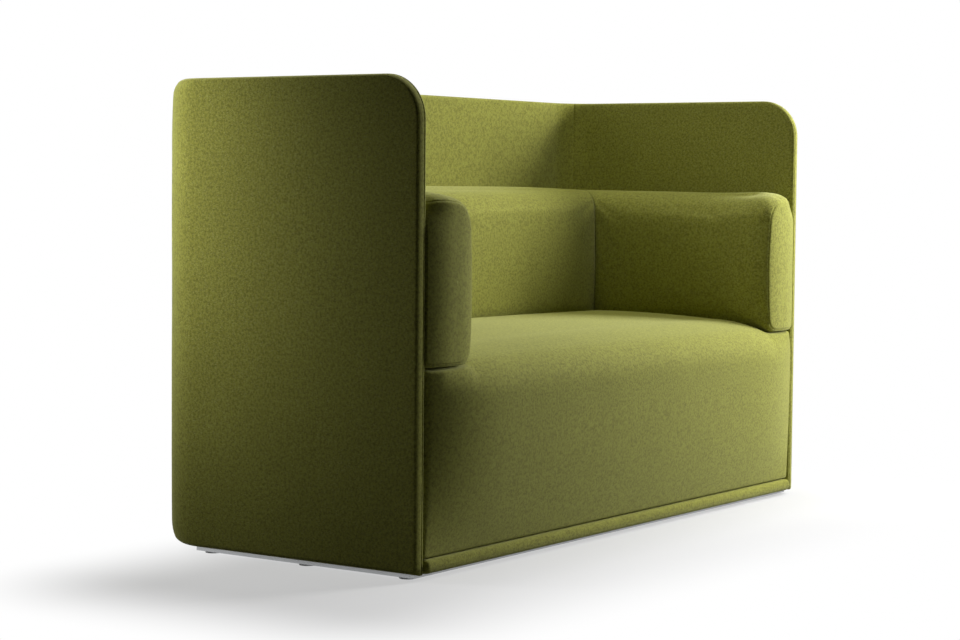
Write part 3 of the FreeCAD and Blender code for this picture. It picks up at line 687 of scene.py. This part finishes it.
def bolster_outline(depth, low, high, wall_round=WALL_ROUND):
    """Points round a slice of a bolster, as distance from the screen and height."""
    side = depth - BOLSTER_BULGE
    crown = high - BOLSTER_CROWN - SWELLING
    points = straight((GAP, low), (side - LOW_ROUND, low), UNDER_POINTS)
    points += bent((side - LOW_ROUND, low + LOW_ROUND), LOW_ROUND, -90, 0, LOW_ROUND_POINTS)
    points += bowed((side, low + LOW_ROUND), (side, crown - TOP_ROUND), BOLSTER_BULGE, FACE_POINTS)
    points += bent((side - TOP_ROUND, crown - TOP_ROUND), TOP_ROUND, 0, 90, TOP_ROUND_POINTS)
    points += bowed((side - TOP_ROUND, crown), (wall_round + GAP, crown), BOLSTER_CROWN, CROWN_POINTS)
    points += bent((wall_round + GAP, crown - wall_round), wall_round, 90, 180, WALL_ROUND_POINTS)
    points += straight((GAP, crown - wall_round), (GAP, low), WALL_POINTS)
    return points


def top_shares():
    """How much each point of that outline belongs to an arm's top, where the cover rolls over the front."""
    shares = [0.0] * (UNDER_POINTS + LOW_ROUND_POINTS + FACE_POINTS)
    shares += [eased(k / TOP_ROUND_POINTS, 0.25, 0.85) for k in range(TOP_ROUND_POINTS)]
    shares += [1.0] * (CROWN_POINTS + WALL_ROUND_POINTS)
    fall = [0.6, 0.3]
    return shares + fall + [0.0] * (WALL_POINTS - len(fall))


TOP_SHARES = top_shares()

# Rings over the front of an arm: behind the panel and drawn in, at the top and then at the sides
COVER_ROWS = (
    (0.0044, 0.0132, 0.0030, 0.0058),
    (0.0066, 0.0116, 0.0038, 0.0040),
    (0.0112, 0.0090, 0.0062, 0.0018),
    (0.0182, 0.0056, 0.0098, 0.0005),
    (0.0280, 0.0022, 0.0158, 0.0),
    (0.0400, 0.0004, 0.0250, 0.0),
)
SEAM_ROW = (0.0056, 0.0146, 0.0044, 0.0066)
PANEL_ROWS = (
    (0.0042, 0.0154, 0.0024, 0.0072),
    (0.0022, 0.0168, 0.0013, 0.0080),
    (0.0012, 0.0192, 0.0006, 0.0092),
    (0.0005, 0.0235, 0.0002, 0.0112),
    (0.0, 0.0300, 0.0, 0.0145),
)
# The front panel is turned back by the screen, more so at the top, and a little at its inner edge
FRONT_WALL_ROUND = 0.012
WALL_TURN = 0.0145
WALL_REACH = 0.075
TOP_TURN = 0.022
TOP_REACH = 0.075
INNER_TURN = 0.006
DOME_MIDDLE = 0.092
DOME_FADE = 0.1
PANEL_CROWN = 0.0016
PANEL_SHARES = (0.985, 0.955, 0.91, 0.84, 0.74, 0.62, 0.48, 0.33, 0.17)
# Behind the panel the arm is a little wider, higher and squarer, over a share of its length
END_FLARE = 0.008
FLARE_SHARE = 0.25
FRONT_LIFT = 0.004
LIFT_SHARE = 0.30
SQUARE_SHARE = 0.12
# Rings along a bolster, and how its ends are rounded at the mitre: back from it and drawn in
ARM_RINGS = 60
ARM_PLAIN_SHARE = 0.985
BACK_RINGS = 150
BACK_PLAIN_SHARE = 0.988
MITRE_ROWS = ((0.003, 0.0004), (0.0008, 0.0014), (0.0, 0.0034))
# Gathers at an arm's front seam: where they begin and end, then their length and height on either side
GATHER_FINENESS = 75.0
GATHER_START = 0.004
GATHER_END = 0.12
COVER_GATHER = (0.012, 0.0017)
PANEL_GATHER = (0.006, 0.0006)
# How near to the screen, the seat and the mitre a bolster's cover is held
HELD_AT_WALL = 0.004
HELD_UNDER = 0.002
HELD_AT_MITRE = 0.005


def set_back(depth, height, behind):
    """How far behind the front a point lies, with the panel domed and turned back by the screen."""
    top = BOLSTER_FLOOR + ARM_HEIGHT
    near_top = eased(height, top - TOP_REACH, top)
    dome = WALL_TURN * max(0.0, 1 - depth / WALL_REACH) ** 2
    dome += TOP_TURN * near_top * max(0.0, 1 - depth / DOME_MIDDLE) ** 2
    dome += INNER_TURN * max(0.0, (depth - DOME_MIDDLE) / (ARM_WIDTH - DOME_MIDDLE)) ** 2.2
    return behind + dome * max(0.0, 1 - behind / DOME_FADE)


def arm_point(depth, height, behind):
    """A point of the left arm."""
    return Vector((depth - INNER_HALF, ARM_FRONT + set_back(depth, height, behind), height))


def arm_front_ring(row):
    """A ring of the arm's front, over the rolled cover or on the panel."""
    top_behind, top_in, side_behind, side_in = row
    wide = ARM_WIDTH + END_FLARE - side_in
    high = BOLSTER_FLOOR + ARM_HEIGHT + FRONT_LIFT - top_in
    outline = bolster_outline(wide, BOLSTER_FLOOR + side_in, high, FRONT_WALL_ROUND)
    points = []
    for (depth, height), top in zip(outline, TOP_SHARES):
        points.append(arm_point(depth, height, side_behind + (top_behind - side_behind) * top))
    return points


def arm_body_ring(share, back_off, drawn):
    """A ring of the arm's long cover, a share of the way from behind its front to the mitre."""
    flare = END_FLARE * eased(share, FLARE_SHARE, 0.0)
    lift = FRONT_LIFT * eased(share, LIFT_SHARE, 0.0)
    wall_round = WALL_ROUND + (FRONT_WALL_ROUND - WALL_ROUND) * eased(share, SQUARE_SHARE, 0.0)
    high = BOLSTER_FLOOR + ARM_HEIGHT + ARM_RISE * share + lift - drawn
    outline = bolster_outline(ARM_WIDTH + flare - drawn, BOLSTER_FLOOR + drawn, high, wall_round)
    top_start, _, side_start, _ = COVER_ROWS[-1]
    points = []
    for (depth, height), top in zip(outline, TOP_SHARES):
        mitre = INNER_BACK - GAP - depth * BACK_DEPTH / ARM_WIDTH - ARM_FRONT
        start = side_start + (top_start - side_start) * top
        points.append(arm_point(depth, height, start * (1 - share) + mitre * share - back_off))
    return points


def left_arm_cover():
    """The left arm: a long cover with a sewn front panel, mitred into the back bolster."""
    bm = bmesh.new()
    run_layer = bm.verts.layers.float.new("seam_run")
    reach_layer = bm.verts.layers.float.new("seam_reach")
    seam = ring_of(bm, arm_front_ring(SEAM_ROW))
    runs = marked_runs(seam)

    def drawn_and_marked(ring, points, way):
        after = drawn_on(bm, ring, points)
        for vert, partner, run in zip(ring, after, runs):
            partner[run_layer] = run
            partner[reach_layer] = vert[reach_layer] + way * (partner.co - vert.co).length
        return after

    for vert, run in zip(seam, runs):
        vert[run_layer] = run
    ring = seam
    for row in COVER_ROWS:
        ring = drawn_and_marked(ring, arm_front_ring(row), 1)
    for k in range(1, ARM_RINGS + 1):
        ring = drawn_and_marked(ring, arm_body_ring(k / ARM_RINGS * ARM_PLAIN_SHARE, 0.0, 0.0), 1)
    for back_off, drawn in MITRE_ROWS:
        ring = drawn_and_marked(ring, arm_body_ring(1.0, back_off, drawn), 1)
    closed_end(bm, ring)
    ring = seam
    for row in PANEL_ROWS:
        ring = drawn_and_marked(ring, arm_front_ring(row), -1)
    rim = [vert.co.copy() for vert in ring]
    centre = sum(rim, Vector()) / len(rim)
    for share in PANEL_SHARES:
        points = []
        for place in rim:
            point = centre + (place - centre) * share
            dome = set_back(point.x + INNER_HALF, point.z, 0.0)
            point.y = ARM_FRONT + dome - PANEL_CROWN * (1 - share ** 2)
            points.append(point)
        ring = drawn_and_marked(ring, points, -1)
    closed_end(bm, ring)
    bmesh.ops.recalc_face_normals(bm, faces=bm.faces)
    return bm


def mirrored(piece):
    """The same cover for the other side."""
    bm = bmesh.new()
    bm.from_mesh(piece.data)
    bmesh.ops.scale(bm, vec=(-1, 1, 1), verts=bm.verts)
    bmesh.ops.recalc_face_normals(bm, faces=bm.faces)
    return bm


def puckered(piece, seed):
    """Fine gathers that run back from the sewn front panel."""
    runs = piece.data.attributes["seam_run"].data
    reaches = piece.data.attributes["seam_reach"].data
    normals = [vert.normal.copy() for vert in piece.data.vertices]
    for vert, run, reach, normal in zip(piece.data.vertices, runs, reaches, normals):
        away = abs(reach.value)
        if away > GATHER_END:
            continue
        gather = noise.noise(Vector((run.value * GATHER_FINENESS, seed, 0.0)))
        length, height = COVER_GATHER if reach.value > 0 else PANEL_GATHER
        fade = math.exp(-away / length) * eased(away, 0.0, GATHER_START)
        vert.co += normal * gather * fade * height


def back_cover():
    """The back bolster, between its two mitres."""
    def slice_at(share, back_off, drawn):
        high = BOLSTER_FLOOR + BACK_HEIGHT + BACK_CROWN * (1 - share ** 2)
        points = []
        for depth, up in bolster_outline(BACK_DEPTH - drawn, BOLSTER_FLOOR + drawn, high - drawn):
            reach = INNER_HALF - GAP - depth * ARM_WIDTH / BACK_DEPTH
            across = share * reach - math.copysign(back_off, share)
            points.append(Vector((across, INNER_BACK - depth, up)))
        return points

    slices = [slice_at(-1.0, *row) for row in reversed(MITRE_ROWS)]
    for k in range(BACK_RINGS + 1):
        slices.append(slice_at((2 * k / BACK_RINGS - 1) * BACK_PLAIN_SHARE, 0.0, 0.0))
    slices += [slice_at(1.0, *row) for row in MITRE_ROWS]
    return lofted(slices)


def arm_held(vert, piece):
    """Where the arm's cover is sewn down, rests on its neighbours or is the stiff front panel."""
    wall = vert.co.x + INNER_HALF
    mitre = INNER_BACK - GAP - wall * BACK_DEPTH / ARM_WIDTH
    sewn = piece.data.attributes["seam_reach"].data[vert.index].value < NEARLY
    under = vert.co.z < BOLSTER_FLOOR + HELD_UNDER
    return wall < HELD_AT_WALL or under or sewn or vert.co.y > mitre - HELD_AT_MITRE


def back_held(vert, piece):
    """Where the back bolster's cover rests on its neighbours."""
    wall = INNER_BACK - vert.co.y
    mitre = INNER_HALF - GAP - wall * ARM_WIDTH / BACK_DEPTH
    under = vert.co.z < BOLSTER_FLOOR + HELD_UNDER
    return wall < HELD_AT_WALL or under or abs(vert.co.x) > mitre - HELD_AT_MITRE


arm_parts = ("arm_cover", "arm_end_panel", "arm_foam")
left_arm = wool_piece("left_arm_cushion", left_arm_cover(), [f"left_{part}" for part in arm_parts])
swollen(left_arm, arm_held)
subdivided(left_arm)
right_arm = wool_piece("right_arm_cushion", mirrored(left_arm), [f"right_{part}" for part in arm_parts])
puckered(left_arm, seed=2.0)
puckered(right_arm, seed=9.0)
back_cushion = wool_piece("back_cushion", back_cover(), ["back_bolster_cover", "back_bolster_foam"])
swollen(back_cushion, back_held)
subdivided(back_cushion)


# The crowned seat: points on each stretch of a slice, from the foot of the front up and round
SEAT_FRONT_POINTS = 30
NOSE_POINTS = 13
SHOULDER_POINTS = 13
SEAT_TOP_POINTS = 44
SEAT_REAR_POINTS = 8
SEAT_UNDER_POINTS = 20
SEAT_INSIDE_POINTS = 20
SEAT_FOOT_POINTS = 2
# Rings from one end to the middle, and how the ends are rounded: in from the wall and drawn in
SEAT_HALF_RINGS = 78
SEAT_END_ROWS = ((0.0, 0.0055), (0.0006, 0.0030), (0.003, 0.0010), (0.008, 0.0))
# Where the top is let down under the arms and the back, and how the front meets the arm fronts
UNDER_ARM_FROM = 0.644
UNDER_ARM_TO = 0.672
UNDER_BACK_FROM = 0.152
UNDER_BACK_TO = 0.178
WEDGE_STEP = 0.006
WEDGE_BEHIND = 0.005
WEDGE_CURVE = 2.2
# Where the cover is held: under the arms and the back, at the frame, the foot and the walls
HELD_ARM_SIDE = 0.640
HELD_ARM_HEIGHT = 0.40
HELD_BACK = 0.150
HELD_AT_FRAME = 0.003
HELD_AT_FOOT = 0.004
HELD_AT_END = 0.006


def seat_outline(share, shrink):
    """Points round an upright slice of the seat, as depth and height, from the foot of its front on."""
    drawn = max(0.0, (share - SEAT_DRAW_IN) / (1 - SEAT_DRAW_IN))
    nose = SEAT_NOSE - (SEAT_NOSE - SEAT_END_NOSE) * drawn ** 3
    top = SEAT_HEIGHT - SEAT_SIDE_FALL * share ** 2 - SEAT_CROWN
    slope = SHOULDER_ANGLE
    nose_z = top - SHOULDER_RADIUS * (1 - math.cos(slope)) - NOSE_RADIUS * math.cos(slope)
    centre = (FRONT - nose + NOSE_RADIUS, nose_z)
    radius = NOSE_RADIUS - shrink
    shoulder = SHOULDER_RADIUS - shrink
    shoulder_y = centre[0] - radius * math.sin(slope) + shoulder * math.sin(slope)
    foot = Vector((FRONT + SEAT_END_NOSE + shrink, SEAT_LOW + shrink))
    tip = Vector((centre[0] - radius, nose_z))
    depth = foot.x - tip.x
    rise = nose_z - foot.y
    bulge = (depth ** 2 + rise ** 2) / (2 * depth)
    points = []
    for k in range(SEAT_FRONT_POINTS):
        height = foot.y + rise * k / SEAT_FRONT_POINTS
        points.append(Vector((tip.x + bulge - math.sqrt(bulge ** 2 - (nose_z - height) ** 2), height)))
    lean = 90 + math.degrees(slope)
    points += bent(centre, radius, 180, lean, NOSE_POINTS)
    points += bent((shoulder_y, top - SHOULDER_RADIUS), shoulder, lean, 90, SHOULDER_POINTS)
    back = INNER_BACK - GAP
    inside = FRAME_FRONT - GAP
    crown = bowed((shoulder_y, top), (back, top), -SEAT_CROWN, SEAT_TOP_POINTS)
    points += [Vector((place.x, place.y - shrink)) for place in crown]
    points += straight((back, top - shrink), (back, WEB_TOP), SEAT_REAR_POINTS)
    points += straight((back, WEB_TOP), (inside, WEB_TOP), SEAT_UNDER_POINTS)
    points += straight((inside, WEB_TOP), (inside, foot.y), SEAT_INSIDE_POINTS)
    points += straight((inside, foot.y), foot, SEAT_FOOT_POINTS)
    return points


def seat_cover():
    """The seat from wall to wall, let down under the arms and the back bolster."""
    half = INNER_HALF - GAP
    plain = half - SEAT_END_ROWS[-1][0]
    stations = [(inset - half, shrink) for inset, shrink in SEAT_END_ROWS]
    stations += [(-plain * (1 - k / SEAT_HALF_RINGS), 0.0) for k in range(1, SEAT_HALF_RINGS)]
    stations += [(0.0, 0.0)] + [(-across, shrink) for across, shrink in reversed(stations)]

    def slice_at(across, shrink):
        points = []
        outline = seat_outline(abs(across) / half, shrink)
        tip = outline[SEAT_FRONT_POINTS]
        met = max(tip.x + WEDGE_STEP, ARM_FRONT + WEDGE_BEHIND)
        side = eased(abs(across), UNDER_ARM_FROM, UNDER_ARM_TO)
        for along, height in outline:
            under = max(side, eased(along, UNDER_BACK_FROM, UNDER_BACK_TO))
            if height > UNDER_BOLSTER:
                height += (UNDER_BOLSTER - height) * under
            elif height > tip.y and along < 0:
                rise = (height - tip.y) / (UNDER_BOLSTER - tip.y)
                along += (tip.x + (met - tip.x) * rise ** WEDGE_CURVE - along) * side
            points.append(Vector((across, along, height)))
        return points

    return lofted([slice_at(*station) for station in stations])


def seat_held(vert, piece):
    """Where the seat's cover is stapled down, or lies under a bolster."""
    place = vert.co
    under_arm = abs(place.x) > HELD_ARM_SIDE and place.z > HELD_ARM_HEIGHT
    hidden = place.y > FRAME_FRONT - HELD_AT_FRAME and place.z < WEB_TOP + HELD_AT_FRAME
    stapled = place.z < SEAT_LOW + HELD_AT_FOOT or abs(place.x) > INNER_HALF - HELD_AT_END
    return under_arm or place.y > HELD_BACK or hidden or stapled


seat_cushion = wool_piece("seat_cushion", seat_cover(), ["seat_cover", "seat_foam", "seat_front_padding"])
swollen(seat_cushion, seat_held)
subdivided(seat_cushion)

# The band under the seat: its rings, and how its ends are rounded, in from the side and drawn in
BAND_RINGS = 150
BAND_END_ROWS = ((0.0, 0.0075), (0.001, 0.0045), (0.0035, 0.0018), (0.008, 0.0002), (0.012, 0.0))
BAND_FLAT_POINTS = 2
BAND_ROUND_POINTS = 6
BAND_REAR_POINTS = 3
BAND_WAVE = 0.0004
BAND_WAVE_FINENESS = 9.0
BAND_WAVE_SEED = 4.0
BAND_BOW = 0.0008


def band_cover():
    """The soft roll along the foot of the front."""
    half = INNER_HALF - BAND_SIDE_GAP
    plain = half - BAND_END_ROWS[-1][0]
    stations = [(-half + inset, shrink) for inset, shrink in BAND_END_ROWS]
    stations += [(plain * (2 * k / BAND_RINGS - 1), 0.0) for k in range(1, BAND_RINGS)]
    stations += [(half - inset, shrink) for inset, shrink in reversed(BAND_END_ROWS)]

    def slice_at(across, shrink):
        low, high = FLOOR + shrink, BAND_TOP - shrink
        wave = noise.noise(Vector((across * BAND_WAVE_FINENESS, BAND_WAVE_SEED, 0.0)))
        tip = BAND_FRONT + shrink + BAND_WAVE * wave
        turn = tip + BAND_ROUND
        back = FRAME_FRONT - GAP
        points = straight((back, low), (turn, low), BAND_FLAT_POINTS)
        points += bent((turn, low + BAND_ROUND), BAND_ROUND, 270, 180, BAND_ROUND_POINTS)
        points += bowed((tip, low + BAND_ROUND), (tip, high - BAND_ROUND), -BAND_BOW, BAND_FLAT_POINTS)
        points += bent((turn, high - BAND_ROUND), BAND_ROUND, 180, 90, BAND_ROUND_POINTS)
        points += straight((turn, high), (back, high), BAND_FLAT_POINTS)
        points += straight((back, high), (back, low), BAND_REAR_POINTS)
        return [Vector((across, place.x, place.y)) for place in points]

    return lofted([slice_at(*station) for station in stations])


front_band = wool_piece("front_band_roll", band_cover(), ["front_band_cover", "front_band_padding"])
subdivided(front_band)

# The cloth under the base: how far it hangs, and how uneven it is
SHEET_HANG = 0.0016
SHEET_RIPPLE = 0.0009
SHEET_RIPPLE_FINENESS = (6.0, 2.5)
SHEET_GATHER = 0.0004
SHEET_GATHER_FINENESS = (26.0, 10.0)


def underside_cloth():
    """The thin cloth stapled under the base, hanging a little between its edges."""
    bm = bmesh.new()
    columns = round(2 * SHEET_HALF / SHEET_CELL)
    rows = round(SHEET_DEPTH / SHEET_CELL)
    bmesh.ops.create_grid(bm, x_segments=columns, y_segments=rows, size=1.0)
    for vert in bm.verts:
        across, deep = vert.co.x, vert.co.y
        slack = (1 - across ** 8) * (1 - deep ** 4)
        ripple = uneven(across, deep, SHEET_RIPPLE_FINENESS, 5.0)
        gather = uneven(across, deep, SHEET_GATHER_FINENESS, 8.0)
        hang = slack * (SHEET_HANG + SHEET_RIPPLE * ripple + SHEET_GATHER * gather)
        vert.co = (across * SHEET_HALF, SHEET_MIDDLE + deep * SHEET_DEPTH / 2, SHEET_TOP - hang)
    bmesh.ops.reverse_faces(bm, faces=bm.faces)
    return bm


dust_cloth = sofa_piece("underside_dust_cloth", underside_cloth(), dust_lining, ["dust_sheet"])

# Floor, light and camera: in a long box by the sofa, set toward its front left where its shadow falls, the
# floor shows its lit grey with the lamps' shadows, and around it a glow paints it white, so the grey in the
# box is partly lamp shadow and partly painted shade
FLOOR_REACH = 30.0
PAINTED_SHADE_MIDDLE = (-0.13, -0.20, 0.0)
PAINTED_SHADE_HALF = (0.98, 0.22, 0.0)
PAINTED_SHADE_FADE = 0.45
PAINTED_SHADE_LEAST_GLOW = 0.50
FLOOR_SEEN = (0.80, 0.80, 0.80, 1)
FLOOR_BOUNCE = (0.20, 0.20, 0.20, 1)
WHITE = (1, 1, 1, 1)
NOWHERE = (0.0, 0.0, 0.0)
AMBIENT = 0.005
CAMERA_PLACE = (-4.4074, -2.9650, 0.7986)
CAMERA_YAW = -0.9662
CAMERA_PITCH = 0.0614
CAMERA_ROLL = 0.0092
CAMERA_LENS = 84.42
CAMERA_SENSOR = 36.0
CAMERA_END = 100.0


def vector_step(tree, operation, vector, values):
    """One step of arithmetic on a vector, with all that it puts out."""
    node = tree.nodes.new("ShaderNodeVectorMath")
    node.operation = operation
    node.inputs[1].default_value = values
    tree.links.new(vector, node.inputs[0])
    return node.outputs


def seen_rays(tree):
    """1 on rays that reach the camera straight, by a mirror or through glass, and 0 on the others."""
    paths = tree.nodes.new("ShaderNodeLightPath")
    seen = sum_node(tree, "MAXIMUM", paths.outputs["Is Camera Ray"], paths.outputs["Is Glossy Ray"])
    return sum_node(tree, "MAXIMUM", seen, paths.outputs["Is Transmission Ray"])


def floor_finish():
    """Lit matt grey in a box by the sofa, with the lamps' shadows and painted shade where the glow is held
    back, going over to a plain white glow.
    """
    material = bpy.data.materials.new("studio_floor")
    material.use_nodes = True
    tree = material.node_tree
    tree.nodes.clear()
    matt = tree.nodes.new("ShaderNodeBsdfDiffuse")
    glow = tree.nodes.new("ShaderNodeEmission")
    glow.inputs["Color"].default_value = WHITE
    glow.inputs["Strength"].default_value = 1.0
    place = tree.nodes.new("ShaderNodeTexCoord").outputs["Object"]
    place = vector_step(tree, "SUBTRACT", place, PAINTED_SHADE_MIDDLE)["Vector"]
    place = vector_step(tree, "ABSOLUTE", place, NOWHERE)["Vector"]
    place = vector_step(tree, "SUBTRACT", place, PAINTED_SHADE_HALF)["Vector"]
    place = vector_step(tree, "MAXIMUM", place, NOWHERE)["Vector"]
    past = vector_step(tree, "LENGTH", place, NOWHERE)["Value"]
    # painted shade: by the box the white glow is held back to half, so the floor there shows greyer than
    # around it
    away = ranged(tree, past, 0.0, PAINTED_SHADE_FADE, PAINTED_SHADE_LEAST_GLOW, 1.0)
    seen = seen_rays(tree)
    tree.links.new(mixed(tree, seen, FLOOR_BOUNCE, FLOOR_SEEN), matt.inputs["Color"])
    blend = tree.nodes.new("ShaderNodeMixShader")
    tree.links.new(sum_node(tree, "MULTIPLY", away, seen), blend.inputs[0])
    tree.links.new(matt.outputs[0], blend.inputs[1])
    tree.links.new(glow.outputs[0], blend.inputs[2])
    leave = tree.nodes.new("ShaderNodeOutputMaterial")
    tree.links.new(blend.outputs[0], leave.inputs["Surface"])
    return material


def stage_floor():
    """A pale studio floor with painted shade in a box by the sofa, going to white away from it."""
    bm = bmesh.new()
    bmesh.ops.create_grid(bm, x_segments=2, y_segments=2, size=FLOOR_REACH)
    mesh = bpy.data.meshes.new("studio_floor")
    bm.to_mesh(mesh)
    bm.free()
    mesh.materials.append(floor_finish())
    floor = bpy.data.objects.new("studio_floor", mesh)
    bpy.context.scene.collection.objects.link(floor)


def studio_world():
    """White where the camera looks past the sofa, and a low even light on it."""
    world = bpy.data.worlds.new("studio")
    bpy.context.scene.world = world
    world.use_nodes = True
    tree = world.node_tree
    shade = tree.nodes["Background"]
    shade.inputs["Color"].default_value = WHITE
    tree.links.new(ranged(tree, seen_rays(tree), 0.0, 1.0, AMBIENT, 1.0), shade.inputs["Strength"])


def soft_lamp(name, place, aim, width, height, power, spread=180):
    """A soft box turned to its aim, with its sizes in metres, power in watts and spread in degrees."""
    lamp = bpy.data.lights.new(name, "AREA")
    lamp.spread = math.radians(spread)
    lamp.shape = "RECTANGLE"
    lamp.size = width
    lamp.size_y = height
    lamp.energy = power
    holder = bpy.data.objects.new(name, lamp)
    holder.location = place
    holder.rotation_euler = (Vector(aim) - Vector(place)).to_track_quat("-Z", "Y").to_euler()
    holder.visible_camera = False
    bpy.context.scene.collection.objects.link(holder)


def studio_camera():
    """The camera fitted to the edges in the photograph."""
    level = math.cos(CAMERA_PITCH)
    look = Vector((-math.sin(CAMERA_YAW) * level, math.cos(CAMERA_YAW) * level, -math.sin(CAMERA_PITCH)))
    right = look.cross(Vector((0, 0, 1))).normalized()
    up = right.cross(look)
    tilted = right * math.cos(CAMERA_ROLL) + up * math.sin(CAMERA_ROLL)
    over = up * math.cos(CAMERA_ROLL) - right * math.sin(CAMERA_ROLL)
    camera = bpy.data.cameras.new("camera")
    camera.sensor_width = CAMERA_SENSOR
    camera.lens = CAMERA_LENS
    camera.clip_end = CAMERA_END
    holder = bpy.data.objects.new("camera", camera)
    turn = Matrix((tilted, over, -look)).transposed().to_4x4()
    holder.matrix_world = Matrix.Translation(CAMERA_PLACE) @ turn
    bpy.context.scene.collection.objects.link(holder)
    bpy.context.scene.camera = holder


stage_floor()
studio_world()
soft_lamp("key_lamp", (1.64, -1.30, 1.2), (0.4, 0.0, 0.5), 0.7, 1.1, 46.0)
soft_lamp("high_key_lamp", (2.0, -0.9, 2.0), (0.4, 0.0, 0.5), 0.7, 0.7, 11.0)
soft_lamp("top_lamp", (0.5, 0.02, 2.6), (0.1, 0.0, 0.5), 1.0, 1.0, 20.5)
soft_lamp("rear_wide_beam", (-1.35, 0.85, 1.3), (-0.83, 0.40, 0.90), 0.3, 0.6, 1.25, 70)
soft_lamp("rear_narrow_beam", (-1.70, 1.10, 1.2), (-0.83, 0.50, 0.80), 0.3, 0.9, 1.00, 40)
soft_lamp("back_lamp", (0.30, 2.40, 1.3), (0.10, 0.38, 0.5), 1.4, 1.0, 14.0)
studio_camera()
bpy.context.scene.view_settings.view_transform = "Standard"
